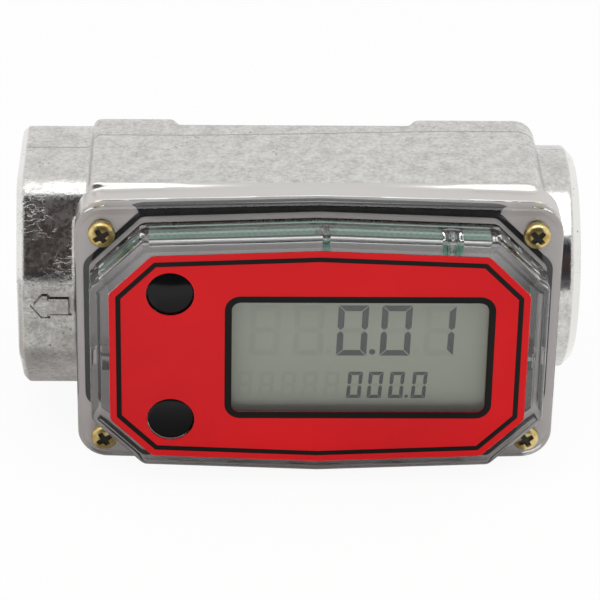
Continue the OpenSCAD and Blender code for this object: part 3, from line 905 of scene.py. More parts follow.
@dataclass(frozen=True)
class PrintedFilm(Finish):
    """Polyester film printed from behind: even ink under a faintly pebbled face."""

    colour: str = "#d41018"
    shade: str = "#cb0f17"
    gloss: float = 0.42

    def dress(self, paint: Paint) -> Socket:
        """The ink drifts a little in strength, and the film has an orange-peel bump.

        Args:
            paint: the material's tree.

        Returns:
            The surface.
        """
        peel = paint.add("TexNoise", Scale=per_mm(0.5), Detail=1.0)
        return paint.add(
            "BsdfPrincipled",
            Base_Color=paint.drift(24.0, self.shade, self.colour, 0.35, 0.65, Detail=2.0),
            Roughness=paint.drift(3.0, self.gloss * 0.9, self.gloss * 1.1),
            Normal=paint.relief((peel, 0.006, 0.6)),
            IOR=1.5,
            Specular_IOR_Level=0.15,
        )


@dataclass(frozen=True)
class DisplayPanel(Finish):
    """Reflective liquid-crystal panel: grey-green, with painted shade along its lower and upper edges and a
    painted thin highlight near the top.
    """

    colour: str = "#8c9080"
    edge: str = "#4b4640"
    low_mm: float = -15.2
    high_mm: float = 9.9

    def dress(self, paint: Paint) -> Socket:
        """The tone follows the panel's height, where the cover's frame keeps light from its edges.

        Args:
            paint: the material's tree.

        Returns:
            The surface.
        """
        share = paint.zone((paint.axes["Z"], self.low_mm, self.high_mm))
        # Painted shade at the lower edge; near the upper edge, a painted thin light line over a painted dark
        # line.
        stops = [(0.0, self.edge), (0.05, "#5d5953"), (0.12, "#85887b"), (0.2, self.colour)]
        stops += [(0.9, self.colour), (0.955, "#969b8c"), (0.965, "#6f7369"), (0.975, self.colour)]
        tint = paint.add("ValToRGB", share, stops=stops)
        return paint.add("BsdfPrincipled", Base_Color=tint, Roughness=paint.drift(0.3, 0.45, 0.6))


@dataclass(frozen=True)
class SolderMask(Finish):
    """Green lacquer over glass-fibre laminate, with a faint weave under the gloss."""

    colour: str = "#86b0a0"
    shade: str = "#76a090"
    weave_mm: float = 0.6

    def dress(self, paint: Paint) -> Socket:
        """The weave is drawn coarser than real cloth, so that it shows.

        Args:
            paint: the material's tree.

        Returns:
            The surface.
        """
        cloth = paint.add("TexChecker", Scale=per_mm(self.weave_mm), output="Fac")
        tint = paint.add("ValToRGB", cloth, stops=[(0.0, self.shade), (1.0, self.colour)])
        return paint.add("BsdfPrincipled", Base_Color=tint, Roughness=paint.drift(1.5, 0.28, 0.4))


CAST = CastAluminium("tumbled_cast_aluminium")
CLEAR = ClearPolycarbonate("clear_polycarbonate")
RED_FILM = PrintedFilm("red_printed_polyester")
BLACK_INK = PrintedFilm("black_printed_ink", "#151614", "#11120f", 0.45)
RUBBER = MouldedPlastic("nitrile_rubber", "#1c1c1e", "#151517", 0.7, 0.3, 0.02)
SEAL = SealFoam("grey_foam")
ADHESIVE = MouldedPlastic("grey_adhesive", "#a39d9e", "#969091", 0.7, 0.3, 0.002)
BUTTON = MouldedPlastic("gloss_black_abs", "#09090a", "#070708", 0.12, 0.4, 0.001, 0.25)
BEZEL = MouldedPlastic("pale_grey_abs", "#dfe0de", "#d3d4d2", 0.5)
BLACK_PLASTIC = MouldedPlastic("black_moulded_abs", "#17171a", "#111114", 0.45)
ACETAL = MouldedPlastic("natural_acetal", "#e4e2da", "#d8d5cc", 0.38)
EPOXY = MouldedPlastic("moulded_epoxy", "#222326", "#1a1b1d", 0.6)
ROTOR_PLASTIC = MouldedPlastic("black_acetal", "#25282d", "#1c1f23", 0.35)
SLEEVE = MouldedPlastic("shrink_sleeve", "#3f74b0", "#315f95", 0.3, 0.8, 0.01)
STEEL = BrightMetal("stainless_steel")
YELLOW_ZINC = BrightMetal("yellow_passivated_zinc", "#e3cf95", "#b99d58", 0.26)
# Painted shade for the screws' cross recesses.
PAINTED_RECESS_SHADE = MouldedPlastic("painted_recess_shade", "#2a2319", "#1b1712", 0.6, 0.2, 0.02)
COPPER = BrightMetal("copper_and_bronze", "#c67b48", "#a8623a", 0.3)
MAGNET = BrightMetal("nickel_plate", "#aab0b5", "#90969b", 0.2)
PANEL = DisplayPanel("liquid_crystal_panel")
LIT = MouldedPlastic("lit_segment", "#32373a", "#2d3235", 0.6, 0.5, 0.001)
GHOST = MouldedPlastic("idle_segment", "#868c7e", "#838a7b", 0.6, 0.5, 0.001)
BOARD = SolderMask("green_solder_mask")


# Geometry nodes


class Rule:
    """A Geometry Nodes tree with named inputs that makes one plain mesh."""

    def __init__(self, name: str, **inputs: object) -> None:
        """Starts the tree.

        Args:
            name: the tree's name.
            inputs: its named inputs with their values.
        """
        self.name = name
        self.tree = bpy.data.node_groups.new(name, "GeometryNodeTree")
        self.tree.interface.new_socket("Geometry", in_out="OUTPUT", socket_type="NodeSocketGeometry")
        self.values: dict[str, object] = {}
        for label, value in inputs.items():
            kind = SOCKET_KINDS[type(value)]
            socket = self.tree.interface.new_socket(label, in_out="INPUT", socket_type=kind)
            self.values[socket.identifier] = value
        self.given = add_node(self.tree, "NodeGroupInput").outputs

    def add(self, kind: str, *terms: object, output: int | str = 0, **values: object) -> Socket:
        """Adds a node.

        Args:
            kind: the node's type.
            terms: outputs or values for its first inputs.
            output: index or name of the output that is wanted.
            values: its settings and other inputs by name.

        Returns:
            The output.
        """
        return add_node(self.tree, kind, *terms, **values).outputs[output]

    def make(self, shape: Socket, finish: Finish) -> Solid:
        """Ends the tree and runs it once.

        Args:
            shape: what the tree makes, in millimetres.
            finish: its material.

        Returns:
            The solid, without the tree.
        """
        real = self.add("GeometryNodeRealizeInstances", shape)
        dressed = self.add("GeometryNodeSetMaterial", real, Material=finish.material())
        add_node(self.tree, "NodeGroupOutput", dressed)
        solid = Solid(self.name, [], [])
        modifier = solid.object.modifiers.new(self.name, "NODES")
        modifier.node_group = self.tree
        for identifier, value in self.values.items():
            modifier[identifier] = value
        return solid.bake()


# The meter's parts


@dataclass
class Casting:
    """The cast body: hubs, block with back bosses, barrel, rim, arrow and bores."""

    outlet_flats: float = 47.8
    outlet_corner: float = 7.0
    outlet_reach: float = 15.4
    outlet_rise: float = 7.2
    inlet_flats: float = 43.4
    inlet_corner: float = 18.5
    barrel_r: float = 20.0
    block_back: float = 5.6
    boss_rise: float = 3.1
    outlet_boss: float = 15.5
    inlet_boss: float = 23.5
    port_r: float = 15.9
    outlet_port: float = 19.0
    inlet_port: float = 17.0
    chamber_r: float = 12.6
    space_r: float = 12.0
    space: tuple[float, float] = (46.7, 67.7)
    rim_edge: float = 0.4
    block_edge: float = 0.9
    inlet_corner_r: float = 4.2
    outlet_corner_r: float = 1.5
    pitch: float = 2.2
    ridge: float = 1.2
    outlet_thread: Point = (1.6, 15.4)
    inlet_thread: Point = (15.4, 13.8)
    recess_inset: float = 2.0
    pocket: Spot = (53.4, 31.3, 0.8)
    pocket_floor: float = 15.5
    screw_hole_end: float = 14.0
    voxel: float = 0.43
    quick_voxel: float = 0.9
    arrow_l: float = 7.0
    arrow_w: float = 4.5
    arrow_h: float = 0.6
    arrow_at: Point = (3.0, 1.2)
    head_share: float = 0.25
    neck_share: float = 0.42
    shaft_share: float = 0.36
    arrow_bed: float = 0.4
    arrow_voxel: float = 0.16

    def build(self) -> None:
        """Makes the body and lets it stand for its node."""
        body = self.blank()
        body.cut(*self.bores())
        voxel, rounds = ((self.voxel, 5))
        body.modify("REMESH", mode="VOXEL", voxel_size=voxel, use_smooth_shade=True)
        body.modify("SMOOTH", factor=0.5, iterations=rounds)
        triangles = 2 * len(body.object.data.polygons)
        body.modify("DECIMATE", ratio=min(1.0, CASTING_TRIANGLES / triangles), use_collapse_triangulate=True)
        face, bed = self.outlet_flats / 2, self.arrow_bed
        body.cut(Solid.prism("bed", self.arrow_outline(bed), face - bed, face + OVERRUN, LAYOUT.front))
        body.join(self.arrow())
        body.piece(CAST, slot="cast_aluminium", stands_for=["meter_casting"], sharp=60)
        self.threads()

    def blank(self) -> Solid:
        """The outside of the body.

        Returns:
            The solid.
        """
        end = LAYOUT.length
        wall = LAYOUT.outlet_hub
        face = end - LAYOUT.inlet_hub
        outlet_bevel, inlet_bevel = LAYOUT.outlet_bevel, LAYOUT.inlet_bevel
        section = (self.outlet_flats, self.outlet_corner, self.outlet_reach, self.outlet_rise)
        outlet = Solid.walls(
            "casting",
            lambda inset: steep_octagon(*section, inset),
            [(0.0, outlet_bevel), (outlet_bevel, 0.0), (wall + OVERRUN, 0.0)],
            LAYOUT.along,
        )
        inlet = Solid.walls(
            "inlet_hub",
            lambda inset: octagon(self.inlet_flats, self.inlet_corner, inset),
            [(face - OVERRUN, 0.0), (end - inlet_bevel, 0.0), (end, inlet_bevel)],
            LAYOUT.along,
        )
        run = [(wall / 2, self.barrel_r), (face + 3 * OVERRUN, self.barrel_r)]
        barrel = Solid.lathe("barrel", run, place=LAYOUT.along)
        rise = edge_stations(LAYOUT.pad_h - OVERRUN, LAYOUT.rim_h, 0.0, self.rim_edge)
        rim = Solid.walls("rim", COVER.ring, rise)
        return outlet.join(inlet, barrel, self.block(), rim)

    def block(self) -> Solid:
        """The block, with the recess between its back bosses.

        Returns:
            The solid.
        """
        low, high = LAYOUT.outlet_hub, LAYOUT.length - LAYOUT.inlet_hub
        bottom, top = LAYOUT.block_low, LAYOUT.block_high
        back = self.block_back + self.boss_rise
        corners = [(high, bottom), (high, top), (low, top), (low, bottom)]
        radii = 2 * [self.inlet_corner_r] + 2 * [self.outlet_corner_r]

        def ring(inset: float) -> list[Point]:
            """The block's front outline, drawn in."""
            inner = {low: low + inset, high: high - inset, bottom: bottom + inset, top: top - inset}
            return rounded([(inner[x], inner[z]) for x, z in corners], [max(r - inset, 0.3) for r in radii])

        rise = edge_stations(-back, LAYOUT.pad_h + OVERRUN / 2, self.block_edge, 0.0)
        block = Solid.walls("block", ring, rise, LAYOUT.front)
        left, right = low + self.outlet_boss, high - self.inlet_boss
        foot = self.boss_rise / 2
        notch = [(left + foot, self.block_back), (right - foot, self.block_back)]
        notch += [(right + OVERRUN / 2, back + OVERRUN), (left - OVERRUN / 2, back + OVERRUN)]
        return block.cut(Solid.prism("notch", notch, bottom - OVERRUN, top + OVERRUN, LAYOUT.upright))

    def arrow(self) -> Solid:
        """The raised arrow on the outlet hub, with softened edges.

        Returns:
            The solid.
        """
        face = self.outlet_flats / 2
        outline = self.arrow_outline(0.0)
        arrow = Solid.prism("arrow", outline, face - OVERRUN, face + self.arrow_h, LAYOUT.front)
        arrow.modify("REMESH", mode="VOXEL", voxel_size=self.arrow_voxel, use_smooth_shade=True)
        return arrow.modify("SMOOTH", factor=0.5, iterations=6)

    def arrow_outline(self, out: float) -> list[Point]:
        """The arrow's outline on the outlet hub's front flat.

        Args:
            out: how far it is drawn out.

        Returns:
            The outline's points.
        """
        head, neck = self.head_share * self.arrow_l, self.neck_share * self.arrow_l
        shaft = self.shaft_share * self.arrow_w
        tall, end = self.arrow_w / 2 + out, self.arrow_l + out
        points = [(-1.4 * out, 0), (head - 0.4 * out, -tall), (neck + out, -tall), (neck + out, -shaft - out)]
        points += [(end, -shaft - out), (end, shaft + out), (neck + out, shaft + out)]
        points += [(neck + out, tall), (head - 0.4 * out, tall)]
        return shift(points, *self.arrow_at)

    def bores(self) -> list[Solid]:
        """Everything that is machined or cored out of the body.

        Returns:
            The cutters.
        """
        end = LAYOUT.length
        low, high = self.space
        port, mouth, wide = self.port_r, LAYOUT.mouth_r, LAYOUT.mouth_r + OVERRUN
        bevel, inner = mouth - port, end - self.inlet_port
        profiles = {
            "outlet_port": [(-OVERRUN, wide), (0, mouth), (bevel, port), (self.outlet_port, port)],
            "inlet_port": [(inner, port), (end - bevel, port), (end, mouth), (end + OVERRUN, wide)],
            "outlet_chamber": [(self.outlet_port - OVERRUN, self.chamber_r), (low, self.chamber_r)],
            "inlet_chamber": [(high, self.chamber_r), (inner + OVERRUN, self.chamber_r)],
            "rotor_space": [(low - OVERRUN, self.space_r), (high + OVERRUN, self.space_r)],
        }
        cuts = [
            Solid.lathe(name, profile, sides=96 if "port" in name else 64, place=LAYOUT.along)
            for name, profile in profiles.items()
        ]
        above = LAYOUT.rim_h + OVERRUN
        cuts.append(Solid.prism("recess", DOME.ring(self.recess_inset), LAYOUT.pad_h - OVERRUN, above))
        pocket = shift(rectangle(*self.pocket), LAYOUT.middle_x, 0)
        cuts.append(Solid.prism("pocket", pocket, self.pocket_floor, above, LAYOUT.front))
        for place in SCREW_PLACES:
            hole = [(self.screw_hole_end, LAYOUT.screw_hole_r), (above, LAYOUT.screw_hole_r)]
            cuts.append(Solid.lathe("screw_hole", hole, place, 24))
        return cuts

    def threads(self) -> None:
        """Port threads as unbroken spirals, with where each starts and its length."""
        back, reach = self.inlet_thread
        ports = {"outlet_thread": self.outlet_thread, "inlet_thread": (LAYOUT.length - back, reach)}
        for name, (start, length) in ports.items():
            sizes = {"Pitch": self.pitch, "Radius": self.port_r - SLIP, "Ridge": self.ridge}
            rule = Rule(name, Length=length, Start=start, **sizes)
            given = rule.given
            turns = rule.add("ShaderNodeMath", given["Length"], given["Pitch"], operation="DIVIDE")
            spiral = rule.add(
                "GeometryNodeCurveSpiral",
                Resolution=72,
                Rotations=turns,
                Start_Radius=given["Radius"],
                End_Radius=given["Radius"],
                Height=given["Length"],
            )
            upright = rule.add("GeometryNodeSetCurveNormal", spiral, mode="Z_UP")
            square = rule.add("GeometryNodeCurvePrimitiveCircle", Resolution=4, Radius=given["Ridge"])
            swept = rule.add("GeometryNodeCurveToMesh", upright, square, Fill_Caps=True)
            offset = rule.add("ShaderNodeCombineXYZ", given["Start"])
            turn = (0.0, math.pi / 2, 0.0)
            turned = rule.add("GeometryNodeTransform", swept, Rotation=turn, Translation=offset)
            rule.make(turned, CAST).piece(CAST, slot="cast_aluminium", sharp=50)


@dataclass
class Cover:
    """The clear cover: flange, raised window with round edges, hidden posts and an inner lip."""

    wall: float = 2.0
    ledge: float = 3.6
    ledge_h: float = 29.7
    foot_edge: float = 0.25
    flange_edge: float = 1.1
    window_edge: float = 1.9
    cavity_edge: float = 0.4
    notch_d: float = 2.0
    notch_r: float = 0.3
    gasket_out: Point = (1.3, 0.25)
    gasket_h: Point = (-0.3, 0.28)
    seat: float = -0.03
    post_r: Point = (2.3, 2.45)
    pilot_r: float = 0.9
    pilot: Point = (28.5, 33.5)

    def build(self) -> None:
        """Makes the cover and lets it stand for its node."""
        low = LAYOUT.rim_h + self.seat
        edges = edge_stations(low, LAYOUT.seat_h, self.foot_edge, self.flange_edge, 7)
        cover = Solid.walls("cover", COVER.ring, edges)
        edges = edge_stations(low, LAYOUT.face_h, 0.0, self.window_edge, 8)
        cover.join(Solid.walls("window_block", DOME.ring, edges))
        cover.cut(*self.cuts(low))
        cover.join(*self.posts())
        piece = cover.piece(CLEAR, slot="clear_plastic", stands_for=["clear_cover"], sharp=40)
        # Light reaches what lies under the cover as it does through real clear plastic.
        piece.visible_shadow = False
        piece.visible_diffuse = False

        outer, inner = (DOME.ring(-out) for out in self.gasket_out)
        under, over = (LAYOUT.rim_h + rise for rise in self.gasket_h)
        gasket = Solid.band("seal_ring", outer, inner, under, over)
        gasket.piece(RUBBER, slot="gasket_rubber", stands_for=["cover_gasket"])
        outer, inner = DOME.ring(self.wall + SLIP), DOME.ring(self.ledge + 2 * SLIP)
        seal = Solid.band("board_seal", outer, inner, LAYOUT.board_h + 0.02, self.ledge_h - 0.02)
        seal.piece(SEAL, slot="gasket_rubber")

    def cuts(self, low: float) -> list[Solid]:
        """The cavity, the label's seat and the holes.

        Args:
            low: height of the cover's underside.

        Returns:
            The cutters.
        """
        top = LAYOUT.wall_h
        edge, foot, above = self.cavity_edge, self.ledge_h - OVERRUN, LAYOUT.face_h + OVERRUN
        stations = [(foot, self.ledge), (top - edge, self.ledge), (top, self.ledge + edge)]
        cuts = [
            Solid.prism("board_bay", DOME.ring(self.wall), low - OVERRUN, self.ledge_h),
            Solid.walls("cavity", DOME.ring, stations),
            Solid.prism("label_seat", LABEL.ring(-SLIP), LAYOUT.label_h - 0.02, above),
        ]
        for side in (-1, 1):
            middle = side * (DOME.width / 2 - self.wall - self.notch_d / 2)
            outline = rectangle(self.notch_d, LAYOUT.notch_w, self.notch_r)
            cuts.append(Solid.prism("notch", shift(outline, middle, LAYOUT.notch_z), foot, top))
        button_r, screw_r = LAYOUT.button_hole_r, LAYOUT.screw_hole_r + 2 * SLIP
        for place in BUTTON_PLACES:
            hole = [(top - OVERRUN, button_r), (above, button_r)]
            cuts.append(Solid.lathe("button_hole", hole, place))
        for place in SCREW_PLACES:
            hole = [(low - OVERRUN, screw_r), (LAYOUT.seat_h + OVERRUN, screw_r)]
            cuts.append(Solid.lathe("screw_hole", hole, place, 32))
        return cuts

    def posts(self) -> list[Solid]:
        """Posts that the board is screwed to, each with its pilot hole.

        Returns:
            The posts.
        """
        posts = []
        foot, top = LAYOUT.board_h + 0.03, LAYOUT.wall_h + 0.5
        for place in POST_PLACES:
            post = Solid.lathe("post", list(zip((foot, top), self.post_r)), place, 40)
            pilot = Solid.lathe("pilot", [(h, self.pilot_r) for h in self.pilot], place, 20)
            posts.append(post.cut(pilot))
        return posts


@dataclass
class Label:
    """The printed label: red film, a black border line and a black ring round the window."""

    window_x: float = 7.6
    window_w: float = 47.9
    window_h: float = 23.5
    ring_w: float = 1.3
    border_inset: float = 1.25
    border_w: float = 0.95
    window_r: float = 1.7
    film: float = 0.25
    ink_t: float = 0.02
    glue: Point = (0.015, 0.002)

    def build(self) -> None:
        """Makes film, border and ring."""
        low, face = LAYOUT.label_h, LAYOUT.label_h + self.film
        sheet = Solid.prism("label_film", LABEL.ring(-0.03), low, face)
        sheet.cut(*self.holes()).piece(RED_FILM, slot="label_film", stands_for=["face_label"])
        back, front = (low - depth for depth in self.glue)
        backing = Solid.prism("label_backing", LABEL.ring(-0.03), back, front)
        backing.cut(*self.holes()).piece(ADHESIVE, slot="label_film")
        outer, inner = LABEL.ring(self.border_inset), LABEL.ring(self.border_inset + self.border_w)
        lines = {"label_border": (outer, inner), "window_ring": (self.window(-self.ring_w), self.window(0.0))}
        for name, (outer, inner) in lines.items():
            line = Solid.band(name, outer, inner, low + 2 * SLIP, face + self.ink_t)
            line.piece(BLACK_INK, slot="label_film")

    def holes(self) -> list[Solid]:
        """Cutters for the display and the two buttons.

        Returns:
            The cutters.
        """
        low, high = LAYOUT.label_h - OVERRUN, LAYOUT.label_h + self.film + OVERRUN
        radius = LAYOUT.button_hole_r + 0.07
        holes = [Solid.prism("hole", self.window(0.0), low, high)]
        for place in BUTTON_PLACES:
            holes.append(Solid.lathe("hole", [(low, radius), (high, radius)], place))
        return holes

    def window(self, inset: float) -> list[Point]:
        """The window's outline, drawn in or out."""
        outline = rectangle(self.window_w, self.window_h, self.window_r, inset)
        return shift(outline, self.window_x, 0.0)


@dataclass
class Buttons:
    """Two push buttons with softly crowned faces."""

    radius: float = 4.35
    crown: float = 0.42
    edge_h: float = 37.13
    foot_h: float = 33.1
    stem_r: float = 2.0
    flange: float = 0.9

    def build(self) -> None:
        """Makes each button and its stem."""
        shelf, stem = LAYOUT.wall_h - SLIP, self.stem_r
        under, flange_r = shelf - self.flange, self.radius + self.flange
        for side, place in zip(("upper", "lower"), BUTTON_PLACES):
            profile = [(self.foot_h, stem), (under, stem), (under, flange_r), (shelf, flange_r)]
            profile += [(shelf, self.radius), (self.edge_h - 0.18, self.radius)]
            profile.append((self.edge_h - 0.05, self.radius - 0.06))
            for i in range(13):
                share = 1 - i / 12
                profile.append((self.edge_h + self.crown * (1 - share**2), (self.radius - 0.2) * share))
            button = Solid.lathe(f"{side}_push_button", profile, place, 72)
            button.piece(BUTTON, f"{side}_button", "button_plastic", [f"{side}_button"], 28)


class Segment(Enum):
    """Bars of a seven-segment digit."""

    TOP = "a"
    UPPER_RIGHT = "b"
    LOWER_RIGHT = "c"
    BOTTOM = "d"
    LOWER_LEFT = "e"
    UPPER_LEFT = "f"
    MIDDLE = "g"


LIT_SEGMENTS = {"0": "abcdef", "1": "bc", " ": ""}


@dataclass
class Digit:
    """One seven-segment digit, by its lower left corner and its sizes."""

    left: float
    low: float
    width: float
    height: float
    stroke: float
    sign: str = " "
    slant: float = 0.03
    gap: float = 0.12

    def bars(self) -> dict[Segment, list[Point]]:
        """The seven bars with mitred ends.

        Returns:
            For each bar its outline, slanted and in place.
        """
        w, h, s, g = self.width, self.height, self.stroke, self.gap
        m, k = h / 2, self.stroke / 2
        flat = {
            Segment.TOP: [(g, h), (w - g, h), (w - s - g, h - s), (s + g, h - s)],
            Segment.BOTTOM: [(s + g, s), (w - s - g, s), (w - g, 0), (g, 0)],
            Segment.MIDDLE: [(g + k, m), (s + g, m + k), (w - s - g, m + k)]
            + [(w - g - k, m), (w - s - g, m - k), (s + g, m - k)],
            Segment.UPPER_LEFT: [(0, h - g), (s, h - s - g), (s, m + k + g), (k, m + g), (0, m + k + g)],
            Segment.UPPER_RIGHT: [(w, h - g), (w, m + k + g), (w - k, m + g)]
            + [(w - s, m + k + g), (w - s, h - s - g)],
            Segment.LOWER_LEFT: [(0, g), (0, m - k - g), (k, m - g), (s, m - k - g), (s, s + g)],
            Segment.LOWER_RIGHT: [(w, g), (w - s, s + g), (w - s, m - k - g), (w - k, m - g), (w, m - k - g)],
        }
        return {bar: self.slanted(points) for bar, points in flat.items()}

    def slanted(self, points: Sequence[Point]) -> list[Point]:
        """Points leant to the right and put in place."""
        middle = self.height / 2
        return [(self.left + u + (v - middle) * self.slant, self.low + v) for u, v in points]


@dataclass
class Display:
    """The display glass with its lit and idle segments."""

    middle_x: float = 7.6
    width: float = 55.0
    height: float = 29.0
    low_h: float = 32.1
    face_h: float = 34.86
    ink_t: float = 0.02
    big_low: float = -0.4
    big_size: Spot = (5.7, 10.7, 1.2)
    big_signs: tuple[tuple[float, str], ...] = (
        (-12.97, " "),
        (-4.77, " "),
        (3.43, "0"),
        (11.6, "0"),
        (19.75, "1"),
    )
    big_dot_r: float = 0.6
    big_dot_v: float = 0.41
    small_low: float = -9.6
    small_size: Spot = (2.75, 5.7, 0.7)
    small_slant: float = 0.07
    small_gap: float = 0.06
    small_dot_r: float = 0.34
    digits: list[Digit] = field(default_factory=list)

    def build(self) -> None:
        """Makes the panel and its segments."""
        outline = shift(rectangle(self.width, self.height, 0.3), self.middle_x, 0)
        panel = Solid.prism("display_panel", outline, self.low_h, self.face_h)
        panel.piece(PANEL, slot="lcd_glass", stands_for=["lcd_glass"])
        self.digits = [Digit(left, self.big_low, *self.big_size, sign) for left, sign in self.big_signs]
        small = [(-15.2 + 4.1 * i, " ") for i in range(5)]
        small += [(left, "0") for left in (5.55, 9.45, 13.5, 17.8)]
        form = (self.small_slant, self.small_gap)
        self.digits += [Digit(left, self.small_low, *self.small_size, sign, *form) for left, sign in small]
        first, second, third = (circle(self.big_dot_r, 24, (u, self.big_dot_v)) for u in (1.9, 10.08, 18.26))
        lit: list[list[Point]] = [second, circle(self.small_dot_r, 20, (16.8, -9.2))]
        idle: list[list[Point]] = [first, third]
        for digit in self.digits:
            for bar, points in digit.bars().items():
                (lit if bar.value in LIT_SEGMENTS[digit.sign] else idle).append(points)
        self.print_bars("lit_segments", lit, LIT)
        self.print_bars("idle_segments", idle, GHOST)

    def print_bars(self, name: str, bars: Sequence[Sequence[Point]], finish: Finish) -> None:
        """Makes one piece of many thin bars.

        Args:
            name: the piece's name.
            bars: outline of each bar.
            finish: its material.
        """
        vertices: list[Sequence[float]] = []
        faces: list[list[int]] = []
        for points in bars:
            start, count = len(vertices), len(points)
            for h in (self.face_h - 0.01, self.face_h + self.ink_t):
                vertices += [LAYOUT.facing(u, v, h) for u, v in points]
            faces.append([start + i for i in range(count)])
            faces.append([start + count + i for i in reversed(range(count))])
            for i in range(count):
                j = (i + 1) % count
                faces.append([start + j, start + i, start + count + i, start + count + j])
        Solid(name, vertices, faces).piece(finish, slot="lcd_glass")


@dataclass
class CoverScrews:
    """Four pan-head screws with a cross recess, each turned by chance."""

    head_r: float = 2.55
    head_t: float = 1.9
    side_t: float = 0.85
    shank_r: float = 1.5
    shank: float = 14.0
    recess: float = 1.85
    recess_d: float = 1.5
    recess_foot: Point = (0.9, 0.4)

    def build(self) -> None:
        """Makes one screw and sets it at each hole."""
        self.spread(self.one(), "cross_head_screws", YELLOW_ZINC, ["cover_screws"])
        # Painted shade: a dark insert deep in each screw's cross recess.
        self.spread(self.shade(), "recess_shades", PAINTED_RECESS_SHADE, [])

    def spread(self, one: Solid, name: str, finish: Finish, stands_for: Sequence[str]) -> None:
        """Sets one solid at each hole, turned by the same chance as the others there.

        Args:
            one: the solid, which is used up.
            name: the piece's name.
            finish: its material.
            stands_for: nodes that the piece replaces.
        """
        width, height = (2 * half for half in SCREW_PLACES[-1])
        rule = Rule(name, Screw=one.object, Width=width, Height=height, Seed=SEED)
        given = rule.given
        grid = rule.add(
            "GeometryNodeMeshGrid", Size_X=given["Width"], Size_Y=given["Height"], Vertices_X=2, Vertices_Y=2
        )
        turns = ((0.0, 0.0, 0.0), (0.0, 0.0, math.pi / 2))
        chance = rule.add("FunctionNodeRandomValue", *turns, Seed=given["Seed"], data_type="FLOAT_VECTOR")
        screw = rule.add("GeometryNodeObjectInfo", given["Screw"], output="Geometry")
        four = rule.add("GeometryNodeInstanceOnPoints", Points=grid, Instance=screw, Rotation=chance)
        turn, middle = (math.pi / 2, 0.0, 0.0), (LAYOUT.middle_x, 0.0, LAYOUT.middle_z)
        placed = rule.add("GeometryNodeTransform", four, Rotation=turn, Translation=middle)
        rule.make(placed, finish).piece(finish, slot="screw_zinc", stands_for=stands_for, sharp=35)
        one.drop()

    def one(self) -> Solid:
        """One screw on the flow axis's plane, its head towards +Z.

        Returns:
            The solid.
        """
        seat = LAYOUT.seat_h
        tip = seat - self.shank
        profile = [(tip, self.shank_r - 0.4), (tip + 0.6, self.shank_r), (seat, self.shank_r)]
        profile += [(seat, self.head_r - 0.1), (seat + 0.12, self.head_r)]
        rise = self.head_t - self.side_t
        for i in range(9):
            angle = math.pi / 2 * i / 8
            radius = self.head_r * math.cos(angle) ** 0.62
            profile.append((seat + self.side_t + rise * math.sin(angle), radius))
        screw = Solid.lathe("screw", profile, sides=40, place=LAYOUT.upright)
        top = seat + self.head_t
        for turn in (0.0, math.pi / 2):
            foot = (top - self.recess_d, *self.recess_foot)
            screw.cut(self.arms(turn, (foot, (top + 0.3, self.recess, 0.62))))
        return screw

    def arms(self, turn: float, levels: Sequence[Spot]) -> Solid:
        """Two opposite arms of the recess.

        Args:
            turn: their angle about the screw's axis.
            levels: height, reach and half width at each level.

        Returns:
            The solid.
        """
        rings = []
        across, up = math.cos(turn), math.sin(turn)
        for h, reach, wide in levels:
            tip = wide * 0.8
            half = [(reach, -tip), (reach, tip), (0.45, wide), (-0.45, wide)]
            corners = half + [(-u, -v) for u, v in half]
            rings.append([(u * across - v * up, u * up + v * across, h) for u, v in corners])
        return Solid.loft("recess", rings)

    def shade(self) -> Solid:
        """A dark insert that paints shade into the lower part of one recess.

        Returns:
            The solid.
        """
        top = LAYOUT.seat_h + self.head_t
        levels = ((top - self.recess_d, *self.recess_foot), (top - 0.5, 1.42, 0.5))
        return self.arms(0.0, levels).join(self.arms(math.pi / 2, levels))


@dataclass
class InnerWorks:
    """Nodes whose solid already has the right shape, under the finish that each gets."""

    finishes: dict[Finish, str] = field(
        default_factory=lambda: {
            ACETAL: "upper_plunger lower_plunger pickup_bobbin outlet_support inlet_support",
            EPOXY: "switch_bodies controller_chip",
            BOARD: "circuit_board",
            BEZEL: "lcd_frame",
            RUBBER: "lcd_connectors",
            BLACK_PLASTIC: "battery_tray",
            SLEEVE: "upper_cell lower_cell",
            COPPER: "pickup_winding pickup_pins rotor_bushes",
            ROTOR_PLASTIC: "turbine_rotor",
            MAGNET: "rotor_magnets",
            STEEL: "capacitor crystal board_screws plate_contacts spring_contacts pickup_core"
            " outlet_ring inlet_ring spindle thrust_washers",
        }
    )

    def build(self) -> None:
        """Dresses each node."""
        for finish, names in self.finishes.items():
            for name in names.split():
                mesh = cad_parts[name].data
                mesh.materials.clear()
                mesh.materials.append(finish.material())
                LOG.info("%s: finish %s", name, finish.name)


# Studio


